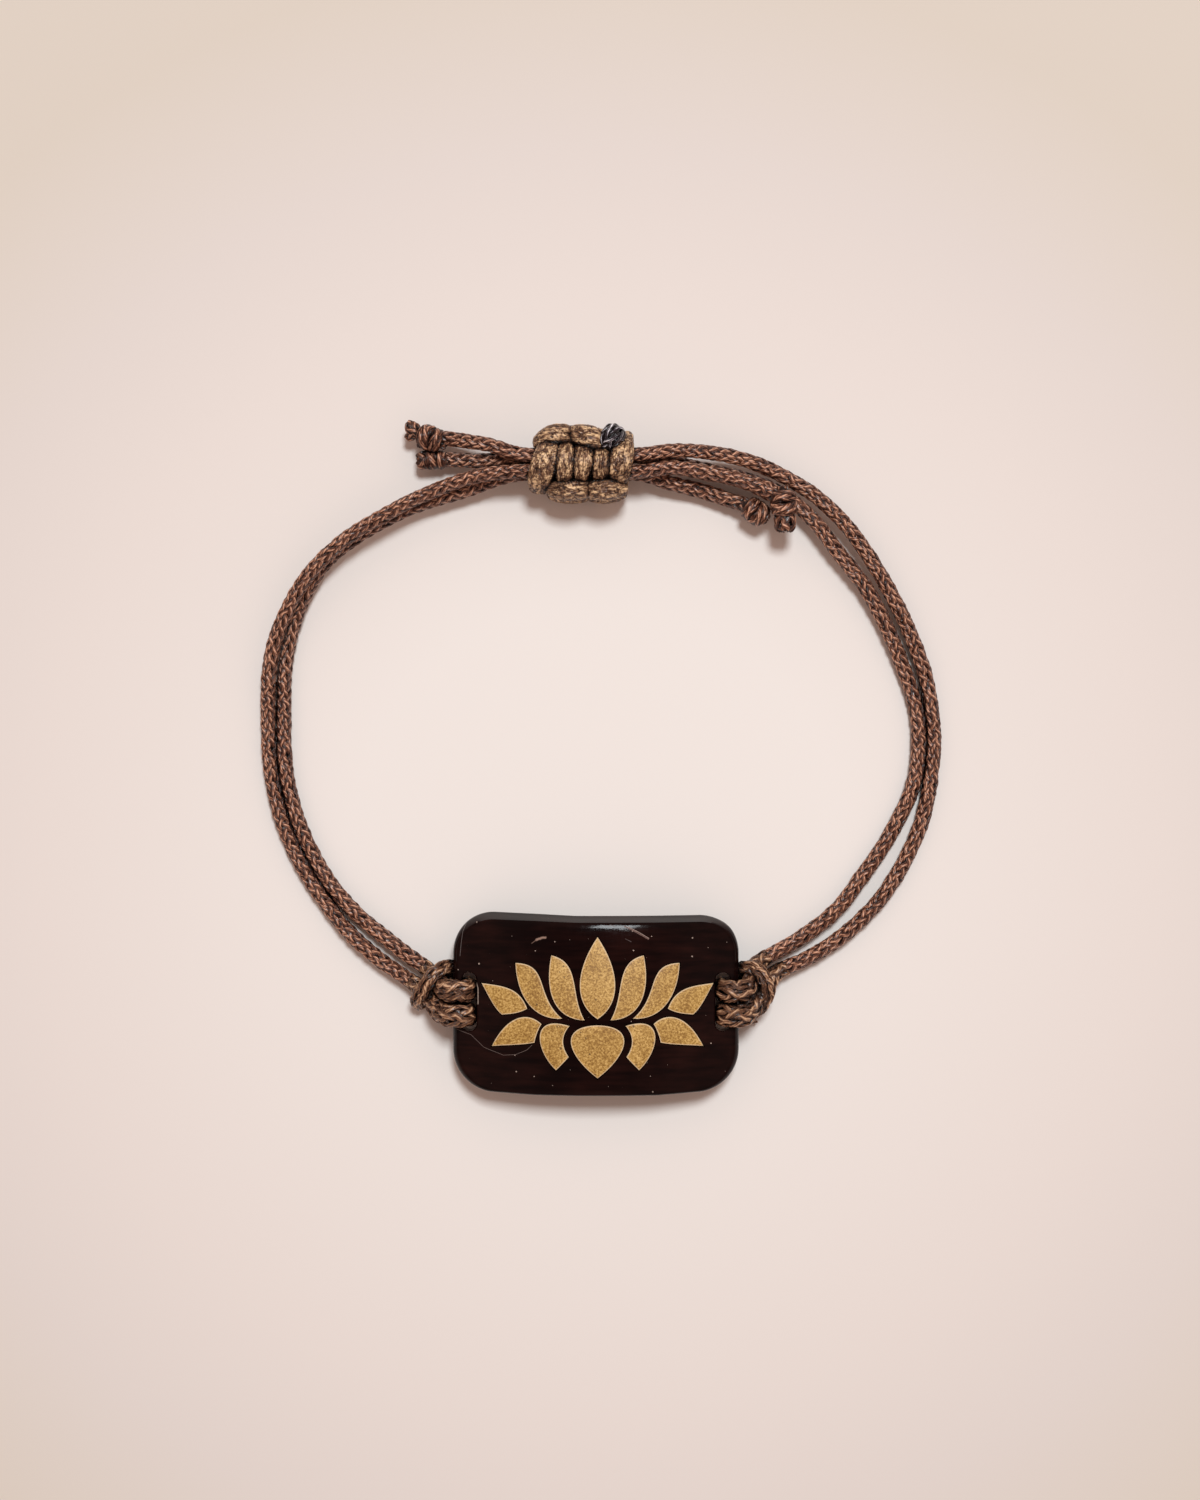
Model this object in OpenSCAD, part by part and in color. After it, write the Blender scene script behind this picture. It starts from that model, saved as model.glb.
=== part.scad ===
// Adjustable cord bracelet: a bowed dark plate with a lotus inlay between two
// doubled cords, which run through a sliding knot and end in stopper knots.
// It lies on a surface at z = 0, with the plate towards -Y and the sliding knot towards +Y.

/* [Loop] */
// Distance from the plate's outer long edge to the sliding knot's far side
loop_span = 82; // [81:0.5:83]
// Thickness of the braided cord
cord_d = 2; // [1.6:0.1:2]

/* [Plate] */
// Length of the plate between the two cords
plate_w = 35.2; // [34.6:0.2:35.4]
// Width of the plate across
plate_h = 22.2; // [21:0.2:24]
// Thickness of the plate
plate_t = 3; // [2.6:0.1:3.2]
// Radius of the plate's corners, seen from above
plate_corner_r = 5.2; // [4:0.2:6]
// Radius of the rounding round the upper edge
plate_edge_r = 1; // [0.6:0.1:1.2]
// Drop of the short ends below the middle
bow_x = 3.2; // [3:0.1:3.4]
// Drop of the long edges below the middle
bow_y = 1; // [0.4:0.1:1.2]
// Height of the plate's ends above the surface, where the cord passes under
plate_lift = 1.9; // [1.85:0.05:2]
// Width of the slot at each end
slot_w = 1.9; // [1.85:0.05:2]
// Length of the slot at each end
slot_l = 7.2; // [6.8:0.2:8]
// Width of the bridge between a slot and the plate's end
bridge_w = 1.1; // [1:0.05:1.15]

/* [Lotus] */
// Width of the lotus between its outer tips
lotus_w = 28.4; // [26:0.2:28.6]
// Thickness of the inlaid petals
inlay_t = 0.5; // [0.4:0.1:0.6]
// Gap round and under each petal
inlay_gap = 0.08; // [0.06:0.01:0.1]

/* [Sliding knot] */
// Length of the sliding knot along the cords
slider_l = 12.7; // [12.5:0.1:13]
// Width of the sliding knot across the cords
slider_w = 9.5; // [9:0.1:10]
// Height of the sliding knot
slider_h = 8; // [8:0.1:8.2]
// Place of the sliding knot along X
slider_x = -1.9; // [-2.1:0.1:-1.7]

/* [Hitches] */
// Width of each flattened cord over the end of the plate
leg_w = 2.7; // [2.5:0.1:2.9]
// Thickness of each flattened cord over the end of the plate
leg_t = 1.6; // [1.5:0.05:1.65]
// Height of each hitch from the surface to the top of its legs
hitch_h = 7.2; // [7.1:0.05:7.3]

/* [Hidden] */

plate_y = (plate_h - loop_span) / 2;
slider_y = (loop_span - slider_w) / 2;
bow_r = (pow(plate_w / 2, 2) + pow(bow_x, 2)) / (2 * bow_x);
plate_top_z = plate_lift + bow_r - sqrt(pow(bow_r - plate_t, 2) - pow(plate_w / 2, 2));
slot_x = plate_w / 2 - bridge_w - slot_w / 2;
bundle_step = cord_d + 0.1;
strand_y = [slider_y - bundle_step / 2, slider_y + bundle_step / 2];
strand_z = [slider_h / 2 - bundle_step / 2, slider_h / 2 + bundle_step / 2];

leg_low = 1.7;
leg_high = 1.3;
leg_gap = 0.1;

// Sliding knot, measured from its middle: [place, width, slant] of each crossing bar,
// the arch they follow over the strands as [share of the reach, height], and the side loops
bar_table = [[-4.6, 3, -0.25], [-1.9, 2.3, 0], [0.3, 2.2, 0], [2.5, 2.2, 0], [4.8, 2.7, 0.2]];
bar_t = 1.9;
bar_reach = 3.3;
bar_arch = [[-1, -0.4], [-0.9, 1.6], [-0.5, 2.8], [0, 3.05], [0.5, 2.8], [0.9, 1.6], [1, -0.4]];
upper_loops = [-3.3, 0.9];
lower_loops = [-1.5, 3.4];
dark_loop_at = [4.2, 3.5, 0.8];
dark_loop_half = [1.9, 1.25, 2.4];

sides = 8;
bow_steps = 6;
petal_rows = 8;

cord_brown = [0.38, 0.25, 0.19];
plate_brown = [0.10, 0.05, 0.05];
inlay_gold = [0.77, 0.66, 0.40];
slider_khaki = [0.59, 0.50, 0.36];
loop_navy = [0.14, 0.11, 0.18];

// Centre lines of the four strands, from the hitch round the loop and through the slider
left_outer_route = [
    [-23.2, -27.5, 2.2], [-27.36, -24.61, 1.9], [-31.93, -20.46, 1.5], [-36.19, -14.72, 1.15],
    [-39.22, -8.18, 1.1], [-40.6, -1.5, 1.2], [-40.85, 5.5, 1.5], [-40.32, 12.39, 2.5],
    [-38.42, 17.7, 3.4], [-35.68, 22.33, 3.95], [-31.53, 26.48, 4.35], [-26.6, 29.63, 4.5],
    [-20.89, 32.52, 4.55], [-14.98, 34.58, 4.85], [-9.5, strand_y[0], strand_z[1]],
    [-1.9, strand_y[0], strand_z[1]], [5.2, strand_y[0], strand_z[1]],
    [9.3, 35.8, 4.6], [13.5, 35.4, 4.2], [18, 34.4, 4.2], [22.1, 32.25, 4.65]];
left_inner_route = [
    [-21.4, -25.8, 2.2], [-25.4, -22.9, 1.75], [-29.79, -18.88, 1.5], [-33.53, -14.28, 1.2],
    [-36.55, -8.42, 1], [-38.4, -2, 1], [-38.8, 5, 1], [-38.68, 12.01, 1.1], [-36.88, 18.88, 1.55],
    [-33.57, 24.35, 2.1], [-28.55, 28.18, 2.4], [-22.8, 31.1, 2.45], [-16.5, 33.1, 2.5],
    [-9.5, strand_y[0], strand_z[0]], [-1.9, strand_y[0], strand_z[0]],
    [5.2, strand_y[0], strand_z[0]], [9.4, 34, 2.2], [13.9, 32.7, 1.7], [18.45, 31.15, 2.35]];
right_outer_route = [
    [23.6, -26, 2.2], [27.61, -24.12, 1.78], [31.69, -21.26, 1.53], [35.67, -17.14, 1.27],
    [38.79, -12.11, 1], [41.19, -5.95, 1], [42.27, 1, 1], [41.52, 8.48, 1], [39.17, 15.29, 1.35],
    [36, 21.6, 1.84], [31.9, 27.8, 2.3], [27.26, 32.45, 2.5], [21, 36, 2.78], [15.5, 37.5, 3.61],
    [10, 37.9, 4.4], [5.2, strand_y[1], strand_z[1]], [-1.9, strand_y[1], strand_z[1]],
    [-9, strand_y[1], strand_z[1]], [-13.2, 38.6, 4.4], [-19, 39.65, 2.9]];
right_inner_route = [
    [21.4, -24.6, 2.2], [25.52, -22.27, 1.79], [29.74, -19.03, 1.51], [33.2, -14.63, 1.22],
    [36.56, -9.65, 1], [39.07, -4.08, 1], [40.05, 2.3, 1], [39.22, 8.27, 1], [36.96, 14.51, 1.33],
    [33.71, 20.83, 1.86], [29.6, 26.1, 2.29], [26.6, 29.9, 2.5], [22.6, 33, 2.2], [18, 34.8, 1.96],
    [13, 35.9, 1.92], [9, 36.8, 2.4], [5.2, strand_y[1], strand_z[0]],
    [-1.9, strand_y[1], strand_z[0]], [-9, strand_y[1], strand_z[0]],
    [-14, 36.9, 2.2], [-18.6, 37.1, 2.1]];

// Petal edges as curves from the base to the tip, drawn for a lotus 29.2 wide:
// base, first and second handle of one edge, the same of the other edge, tip
lotus_drawn_w = 29.2;
lotus_x = 0.2;
petal_table = [
    ["top", [0, -1.95], [3.3, 0.2], [2.6, 4.5], [-3.3, 0.2], [-2.6, 4.5], [0, 8.3]],
    ["base", [0, -2.7], [5, -2.8], [3.9, -6.4], [-5, -2.8], [-3.9, -6.4], [0, -9.4]],
    ["inner", [-1.6, -2.1], [-3.5, 1.2], [-2, 5.2], [-5.5, -2], [-6.7, 1.6], [-5.8, 6]],
    ["middle", [-4.4, -1.9], [-7.9, 1], [-5.9, 5], [-8.4, -2.2], [-10.2, 1.4], [-10.3, 5]],
    ["outer", [-8.8, -0.7], [-9.8, 2], [-11.8, 2.1], [-10.6, -2], [-13.2, -2], [-14.6, 2.4]],
    ["low_inner", [-3.5, -2.8], [-8.6, -1.2], [-7.8, -6], [-5.6, -5.6], [-2, -6.6], [-5.2, -8.4]],
    ["low_outer", [-7, -2.6], [-8.8, -0.9], [-11.4, -1.6], [-8.4, -4.4], [-7, -5.6], [-13.3, -5.5]]];

function unit(v) = v / norm(v);

// Direction of a route at its point i
function heading(route, i) = unit(route[min(i + 1, len(route) - 1)] - route[max(i - 1, 0)]);

// Sideways direction there: level, or as close to the given direction as it can be
function sideways(t, across) =
    is_undef(across) ? unit(cross([0, 0, 1], t)) : unit(across - (across * t) * t);

// One ring of points round a route's point, of width w and thickness h
function ring(centre, t, side, w, h, n) =
    [for (k = [0:n - 1])
        centre + side * w / 2 * cos(360 * k / n) + cross(t, side) * h / 2 * sin(360 * k / n)];

// Side faces between rings i and i + 1 of n points each, in a list of rings
function ring_faces(i, j, n) = [for (k = [0:n - 1]) [i * n + k, i * n + (k + 1) % n,
                                                     j * n + (k + 1) % n, j * n + k]];

// Cord swept along an open route
module tube(route, w, h, n, across = undef) {
    count = len(route);
    points = [for (i = [0:count - 1])
        let (t = heading(route, i)) each ring(route[i], t, sideways(t, across), w, h, n)];
    faces = [[for (k = [0:n - 1]) k],
             [for (k = [n - 1:-1:0]) (count - 1) * n + k],
             for (i = [0:count - 2]) each ring_faces(i + 1, i, n)];
    polyhedron(points, faces, convexity = 6);
}

// Band round an ellipse in the YZ plane: w wide along X, t thick
module band(half_y, half_z, w, t, n, steps) {
    points = [for (i = [0:steps - 1])
        let (a = 360 * i / steps, out = unit([0, cos(a) / half_y, sin(a) / half_z]))
        for (k = [0:n - 1]) [0, half_y * cos(a), half_z * sin(a)]
            + out * t / 2 * cos(360 * k / n) - [w / 2 * sin(360 * k / n), 0, 0]];
    faces = [for (i = [0:steps - 1]) each ring_faces((i + 1) % steps, i, n)];
    polyhedron(points, faces, convexity = 4);
}

// Distance of the plate's bowed top from the bow's axis, at y from the plate's middle
function bow_radius(y) = bow_r - bow_y * pow(2 * y / plate_h, 2);

// Places across the plate where its bowed surfaces change their slope
function across_steps(edge) = [for (i = [0:bow_steps]) (plate_h / 2 - edge) * (2 * i / bow_steps - 1)];

// Turns a section of [distance from the axis, y] round the bow's axis
module bowed() {
    translate([0, 0, plate_top_z - bow_r]) rotate([90, 0, 0]) rotate_extrude($fn = 360) children();
}

// All that lies under the plate's top, or under a surface that is drop lower
module under_top(drop) {
    bowed() polygon(concat([[0, plate_h / 2 + 1], [0, -plate_h / 2 - 1]],
        [for (y = across_steps(-1)) [bow_radius(y) - drop, y]]));
}

// Rounded outline of the plate
module plate_outline() {
    r = plate_corner_r;
    square([plate_w - 2 * r, plate_h], center = true);
    square([plate_w, plate_h - 2 * r], center = true);
    for (x = [-1, 1]) for (y = [-1, 1])
        translate([x * (plate_w / 2 - r), y * (plate_h / 2 - r)]) circle(r, $fn = 64);
}

// Plate without its slots and pockets, with both long edges and both ends eased
module plate_blank() {
    e = plate_edge_r;
    hh = plate_h / 2;
    hw = plate_w / 2;
    end_z = plate_top_z - bow_x;
    top = across_steps(e);
    intersection() {
        linear_extrude(plate_top_z + 1) plate_outline();
        bowed() polygon(concat(
            [[bow_radius(hh) - e, -hh], [bow_radius(hh) - e * 0.3, -hh + e * 0.3]],
            [for (y = top) [bow_radius(y), y]],
            [[bow_radius(hh) - e * 0.3, hh - e * 0.3], [bow_radius(hh) - e, hh]],
            [[bow_radius(hh) - plate_t + e / 2, hh]],
            [for (i = [bow_steps:-1:0]) let (y = across_steps(e / 2)[i]) [bow_radius(y) - plate_t, y]],
            [[bow_radius(hh) - plate_t + e / 2, -hh]]));
        rotate([90, 0, 0]) linear_extrude(plate_h + 2, center = true)
            polygon([[-hw, 0], [hw, 0], [hw, end_z - e], [hw - e * 0.3, end_z - e * 0.2],
                     [hw - e * 1.2, end_z + e * 0.5], [hw - e * 1.2, plate_top_z + 1],
                     [-hw + e * 1.2, plate_top_z + 1], [-hw + e * 1.2, end_z + e * 0.5],
                     [-hw + e * 0.3, end_z - e * 0.2], [-hw, end_z - e]]);
    }
}

// Point at t on the curve with ends a and d and handles b and c
function curve(a, b, c, d, t) =
    a * pow(1 - t, 3) + b * 3 * pow(1 - t, 2) * t + c * 3 * (1 - t) * pow(t, 2) + d * pow(t, 3);

// Row of the petal table, and one of its edges at the lotus's real size; flip is 1 or -1 in X
function petal_row(name) = petal_table[search([name], petal_table)[0]];
function petal_edge(row, edge, flip) =
    [for (i = [0:petal_rows])
        let (p = curve(row[1], row[2 + 2 * edge], row[3 + 2 * edge], row[6], i / petal_rows))
        [p[0] * flip, p[1]] * lotus_w / lotus_drawn_w + [lotus_x, 0]];

// Flat outline of one petal, for its pocket
module petal_shape(row, flip) {
    one = petal_edge(row, 0, flip);
    other = petal_edge(row, 1, flip);
    polygon(concat(one, [for (i = [petal_rows - 1:-1:1]) other[i]]));
}

// One inlaid petal, flush with the plate's bowed top
module petal(name, flip = 1) {
    color(inlay_gold) translate([0, plate_y, 0]) intersection() {
        linear_extrude(plate_top_z + 1) petal_shape(petal_row(name), flip);
        difference() {
            under_top(0);
            under_top(inlay_t);
        }
    }
}

// Slot with round ends, right through the plate
module slot() {
    linear_extrude(plate_top_z + 1) {
        square([slot_w, slot_l - slot_w], center = true);
        for (end = [-1, 1]) translate([0, end * (slot_l - slot_w) / 2]) circle(slot_w / 2, $fn = 32);
    }
}

// Bowed plate with a slot at each end and a shallow pocket for each petal
module plate() {
    color(plate_brown) translate([0, plate_y, 0]) difference() {
        plate_blank();
        for (side = [-1, 1]) translate([side * slot_x, 0, 0]) slot();
        difference() {
            for (row = petal_table) for (flip = row[0] == "top" || row[0] == "base" ? [1] : [1, -1])
                linear_extrude(plate_top_z + 1) offset(delta = inlay_gap) petal_shape(row, flip);
            under_top(inlay_t + inlay_gap);
        }
    }
}

// One leg of a hitch: from its strand's start up over the plate's end, down through the slot and back
function leg_route(route, y) =
    let (side = sign(route[0][0]), d = unit(route[0] - route[1]), start = route[0] + leg_gap * d)
    concat([start],
           [for (t = [0:0.25:1]) curve(start + d, start + 3 * d, [side * 19.6, y, 5.2],
                                       [side * 17.6, y, 6.4], t)],
           [for (p = [[16.5, 6.5], [15.7, 5.9], [15.6, 4.4], [15.6, 2.4], [16.1, 1.3],
                      [17, leg_t / 2], [18.6, leg_t / 2], [19.8, 1.2]])
                [side * p[0], y, p[1]]]);

// One of the four strands of braided cord
module strand(route) {
    color(cord_brown) tube(route, cord_d, cord_d, sides);
}

// Doubled cord through a slot: two legs and the collar that holds the two strands
module hitch(outer, inner, collar_at, collar_turn) {
    color(cord_brown) resize([0, 0, hitch_h]) union() {
        tube(leg_route(outer, plate_y - leg_low), leg_w, leg_t, sides, [0, 1, 0]);
        tube(leg_route(inner, plate_y + leg_high), leg_w, leg_t, sides, [0, 1, 0]);
        translate(collar_at) rotate(collar_turn) band(2.6, 2, 1.8, 1.5, sides, 16);
    }
}

// Stopper knot: three crossing wraps of the cord, and a stub that points along local +X
module stopper(at, turn, size, stub) {
    color(cord_brown) translate(at) rotate([0, 0, turn]) resize(size) union() {
        for (tilt = [-35, 35]) rotate([0, tilt, 0]) band(1.1, 1.1, 1.3, 1.3, 6, 8);
        rotate([0, 0, 75]) band(0.9, 1, 1.3, 1.2, 6, 8);
        tube([[0.2, 0, 0], [1.4, 0, 0], [stub, 0, 0]], 1.3, 1.2, 6);
    }
}

// Egg-shaped lump of cord at a place measured from the sliding knot's middle
module lump(at, half) {
    translate(at) scale(half) sphere(1, $fn = 12);
}

// Sliding knot: cords crossing over and under the four strands, with loops along both sides
module slider_knot() {
    channel = bundle_step / 2 + cord_d / 2 + 0.1;
    core = channel + 0.95;
    side_loop = [2.3, 1.6, 2.6];
    color(slider_khaki) translate([slider_x, slider_y, slider_h / 2])
        resize([slider_l, slider_w, slider_h]) difference() {
            union() {
                rotate([90, 0, 90]) linear_extrude(slider_l - 2, center = true)
                    offset(1) square(2 * core - 2, center = true);
                for (bar = bar_table) for (face = [0, 1]) mirror([0, 0, face])
                    tube([for (p = bar_arch) [bar[0] + bar[2] * p[0], p[0] * bar_reach, p[1]]],
                         bar[1], bar_t, 8, [1, 0, 0]);
                for (x = upper_loops) lump([x, slider_w / 2 - side_loop[1], 0], side_loop);
                for (x = lower_loops) lump([x, -slider_w / 2 + side_loop[1], 0], side_loop);
            }
            cube([slider_l + 2, 2 * channel, 2 * channel], center = true);
            lump(dark_loop_at, dark_loop_half + [0.2, 0.2, 0.2]);
        }
}

// Dark loop at one corner of the sliding knot
module slider_dark_loop() {
    color(loop_navy) translate([slider_x, slider_y, slider_h / 2]) lump(dark_loop_at, dark_loop_half);
}

plate();
petal("top");  // petal_top
petal("base");  // petal_base
petal("inner");  // petal_inner_left
petal("inner", -1);  // petal_inner_right
petal("middle");  // petal_middle_left
petal("middle", -1);  // petal_middle_right
petal("outer");  // petal_outer_left
petal("outer", -1);  // petal_outer_right
petal("low_inner");  // petal_low_inner_left
petal("low_inner", -1);  // petal_low_inner_right
petal("low_outer");  // petal_low_outer_left
petal("low_outer", -1);  // petal_low_outer_right
strand(left_outer_route);  // strand_left_outer
strand(left_inner_route);  // strand_left_inner
strand(right_outer_route);  // strand_right_outer
strand(right_inner_route);  // strand_right_inner
hitch(left_outer_route, left_inner_route, [-20.6, -27.9, 3.2], [0, -22, -35]);  // hitch_left
hitch(right_outer_route, right_inner_route, [20.8, -27.3, 3.3], [0, 22, 30]);  // hitch_right
stopper([-20.6, 39.9, 2.9], 153, [4.6, 3.4, 3.4], 3);  // knot_left_upper
stopper([-20.1, 37, 2.3], 185, [3.6, 2.4, 2.6], 2.4);  // knot_left_lower
stopper([23.3, 31.1, 4.9], -75, [4.2, 3.4, 3.4], 2.6);  // knot_right_upper
stopper([19.9, 30.4, 2.9], -50, [3.9, 3.4, 3.4], 2.2);  // knot_right_lower
slider_knot();
slider_dark_loop();
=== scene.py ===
import bpy
import bmesh
import math
import numpy as np
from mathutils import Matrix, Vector
from mathutils.geometry import delaunay_2d_cdt


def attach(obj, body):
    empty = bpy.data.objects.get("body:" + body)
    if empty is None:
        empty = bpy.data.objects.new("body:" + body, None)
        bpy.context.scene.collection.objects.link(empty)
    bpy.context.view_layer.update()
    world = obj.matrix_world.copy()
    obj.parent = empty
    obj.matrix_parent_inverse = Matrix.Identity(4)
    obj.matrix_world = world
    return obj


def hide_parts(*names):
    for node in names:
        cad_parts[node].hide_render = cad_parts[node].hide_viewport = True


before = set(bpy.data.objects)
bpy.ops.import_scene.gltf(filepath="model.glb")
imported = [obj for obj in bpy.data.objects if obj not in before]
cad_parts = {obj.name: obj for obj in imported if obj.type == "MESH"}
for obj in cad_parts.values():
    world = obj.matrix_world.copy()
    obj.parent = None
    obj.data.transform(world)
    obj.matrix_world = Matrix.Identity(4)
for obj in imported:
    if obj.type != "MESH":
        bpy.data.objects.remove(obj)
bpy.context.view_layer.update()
mm = 0.001


# Camera: straight above the loop, tipped a little, as in the photo

cameraSet = {
    "target": (0.5, 1.0, 0.0),      # mm, the point under the middle of the picture
    "distance": 300.0,              # mm
    "elevation": 89.5,              # degrees above the floor
    "frameHeight": 187.5,           # mm of floor from the top of the picture to its bottom
    "sensor": 24.0,
}


def newObject(name, data):
    made = bpy.data.objects.new(name, data)
    bpy.context.collection.objects.link(made)
    return made


def makeCamera(c):
    data = bpy.data.cameras.new("camera")
    data.sensor_fit = "VERTICAL"
    data.sensor_height = c["sensor"]
    data.lens = c["sensor"] * c["distance"] / c["frameHeight"]
    data.clip_start = 0.01
    camera = newObject("camera", data)
    tip = math.radians(90 - c["elevation"])
    back = Vector((0, -math.sin(tip), math.cos(tip))) * c["distance"]
    camera.location = (Vector(c["target"]) + back) * mm
    camera.rotation_euler = (tip, 0, 0)
    bpy.context.scene.camera = camera


makeCamera(cameraSet)
print("camera placed")


# Node helpers: one call adds a node and wires its inputs

def feed(tree, sockets, values):
    # each value wired to its socket or set on it
    for socket, value in zip(sockets, values):
        if isinstance(value, bpy.types.NodeSocket):
            tree.links.new(value, socket)
        else:
            socket.default_value = value


def addNode(tree, kind, inputs=None, **settings):
    node = tree.nodes.new(kind)
    for name, value in settings.items():
        setattr(node, name, value)
    inputs = inputs or {}
    feed(tree, [node.inputs[name] for name in inputs], inputs.values())
    return node


def through(tree, kind, inputs=None, out=0, **settings):
    return addNode(tree, kind, inputs, **settings).outputs[out]


def doMath(operation, *values):
    tree = next(value.id_data for value in values if isinstance(value, bpy.types.NodeSocket))
    node = addNode(tree, "ShaderNodeMath", operation=operation)
    feed(tree, node.inputs, values)
    return node.outputs[0]


def plus(first, *others):
    for value in others:
        first = doMath("ADD", first, value)
    return first


def minus(first, second):
    return doMath("SUBTRACT", first, second)


def times(first, *others):
    for value in others:
        first = doMath("MULTIPLY", first, value)
    return first


def doVector(operation, first, second=None, out=0):
    node = addNode(first.id_data, "ShaderNodeVectorMath", {"Vector": first}, operation=operation)
    if second is not None:
        feed(first.id_data, [node.inputs["Scale" if operation == "SCALE" else 1]], [second])
    return node.outputs[out]


def noise(place, scale, detail=2.0, more=None, out=0):
    inputs = {"Vector": place, "Scale": scale, "Detail": detail, **(more or {})}
    return through(place.id_data, "ShaderNodeTexNoise", inputs, out)


def lines(pattern, sharpness):
    # 1 along the lines where a noise crosses its middle, 0 away from them
    away = times(doMath("ABSOLUTE", minus(pattern, 0.5)), sharpness)
    return doMath("MAXIMUM", minus(1, away), 0)


def colourRamp(factor, stops):
    node = addNode(factor.id_data, "ShaderNodeValToRGB", {0: factor})
    while len(node.color_ramp.elements) < len(stops):
        node.color_ramp.elements.new(0.5)
    for element, (place, colour) in zip(node.color_ramp.elements, stops):
        element.position = place
        element.color = (*colour, 1)
    return node.outputs[0]


def linear(r, g, b):
    # colour as read from the photo, 0 to 255, to the linear values Blender wants
    return tuple(((v / 255 + 0.055) / 1.055) ** 2.4 if v > 10 else v / 255 / 12.92 for v in (r, g, b))


def tinted(factor, look):
    # the look's own colours, each at its stop
    return colourRamp(factor, [(place, look[key]) for place, key in look["stops"]])


def weighed(parts, look):
    # the parts of a pattern added up, each times its share
    return plus(*(times(part, look["shares"][title]) for title, part in parts.items()), look["tone"])


def mixColours(factor, first, second):
    first, second = ((*c, 1) if isinstance(c, tuple) else c for c in (first, second))
    return through(factor.id_data, "ShaderNodeMix", {0: factor, 6: first, 7: second}, 2, data_type="RGBA")


def objectSpot(tree):
    return through(tree, "ShaderNodeTexCoord", out="Object")


def attribute(tree, name, out="Fac"):
    return through(tree, "ShaderNodeAttribute", out=out, attribute_name=name)


def openness(tree, reach, samples, **settings):
    # painted shade: 1 in the open, less where something lies within reach; mixed into a colour it darkens the hollows
    # as shade would
    return through(tree, "ShaderNodeAmbientOcclusion", {"Distance": reach * mm}, "AO", samples=samples, **settings)


def newMaterial(name):
    material = bpy.data.materials.new(name)
    material.use_nodes = True
    return material, material.node_tree, material.node_tree.nodes["Principled BSDF"]


def dress(shader, look, colour, roughness, height):
    # the colour, the roughness and the look's own gloss and relief, put on the shader
    tree = shader.id_data
    strength, depth = look["relief"]
    bump = through(tree, "ShaderNodeBump", {"Strength": strength, "Distance": depth * mm, "Height": height})
    names = ("Base Color", "Roughness", "Specular IOR Level", "Normal")
    feed(tree, [shader.inputs[name] for name in names], (colour, roughness, look["gloss"], bump))


# Finishes of the cords

yarnLook = {
    "dark": linear(10, 4, 3),
    "brown": linear(68, 36, 28),
    "russet": linear(127, 80, 59),
    # tan is reached where the painted highlight falls, and on the lighter filaments and patches
    "tan": linear(222, 169, 139),
    "stops": ((0.22, "dark"), (0.48, "brown"), (0.66, "russet"), (0.9, "tan")),
    "tone": -0.83,          # lighter or darker all over
    "shares": {"filament": 0.28, "patches": 0.24, "fuzz": 0.44, "paintedHighlight": 0.28, "open": 0.85},   # what each part adds; two of them are painted light: a highlight on the yarns' tops and shade in their hollows
    "roughness": 0.26,
    "gloss": 0.4,
    "shadeReach": 0.55,         # mm within which a neighbour paints shade into the hollows
    "filaments": 3.0,       # twisted filaments seen across one yarn
    "twist": 0.9,           # mm along the yarn for one filament to cross it
    "shift": 0.37,          # how far each yarn's filaments are turned against those of the one before
    "patchScale": 420.0,    # patches to the metre
    "fuzzScale": 2800.0,
    "relief": (0.5, 0.06),  # strength, and depth in mm
}


def makeYarnMaterial(name, look):
    material, tree, shader = newMaterial(name)
    along, around, yarn, lift = (attribute(tree, title) for title in ("along", "around", "yarn", "lift"))
    turns = plus(times(around, look["filaments"] * 2), doMath("DIVIDE", along, look["twist"] * mm),
                 times(yarn, look["shift"]))
    crown = doMath("COSINE", times(around, math.pi * 2))      # 1 on top of a yarn, where its highlight is painted
    spot = objectSpot(tree)
    parts = {
        "filament": doMath("MULTIPLY_ADD", doMath("SINE", times(turns, math.pi * 2)), 0.5, 0.5),
        "patches": noise(spot, look["patchScale"]),
        "fuzz": noise(spot, look["fuzzScale"], 3.0),
        # painted highlight: the top of each yarn where it rises over the others is lightened towards tan
        "paintedHighlight": times(doMath("MAXIMUM", crown, 0), lift),
        # painted shade: the hollows between yarns and strands are darkened in the colour
        "open": openness(tree, look["shadeReach"], 6),
    }
    colour = tinted(weighed(parts, look), look)
    height = plus(parts["filament"], times(parts["fuzz"], 0.5))
    rough = doMath("MULTIPLY_ADD", parts["fuzz"], 0.3, look["roughness"] - 0.1)
    dress(shader, look, colour, rough, height)
    return material


yarnMaterial = makeYarnMaterial("waxed yarn", yarnLook)


# Braided cord: a route with its width and height stored at each point, and a tree that lays the yarns

def runAlong(points):
    # each point's distance from the first, along the line
    return np.concatenate([[0], np.cumsum(np.linalg.norm(np.diff(points, axis=0), axis=1))])


def smoothRoute(points, step):
    # evenly spaced points on one smooth curve through the given ones, all in mm
    p = np.array(points, float)
    p = np.vstack([2 * p[0] - p[1], p, 2 * p[-1] - p[-2]])
    fine = []
    t = np.linspace(0, 1, 24, endpoint=False)[:, None]
    for a, b, c, d in zip(p, p[1:], p[2:], p[3:]):
        fine.append(0.5 * (2 * b + (c - a) * t + (2 * a - 5 * b + 4 * c - d) * t ** 2
                           + (3 * b - a - 3 * c + d) * t ** 3))
    fine = np.vstack(fine + [p[-2:-1]])
    run = runAlong(fine)
    at = np.linspace(0, run[-1], max(3, int(round(run[-1] / step)) + 1))
    return np.column_stack([np.interp(at, run, fine[:, k]) for k in range(3)])


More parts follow.
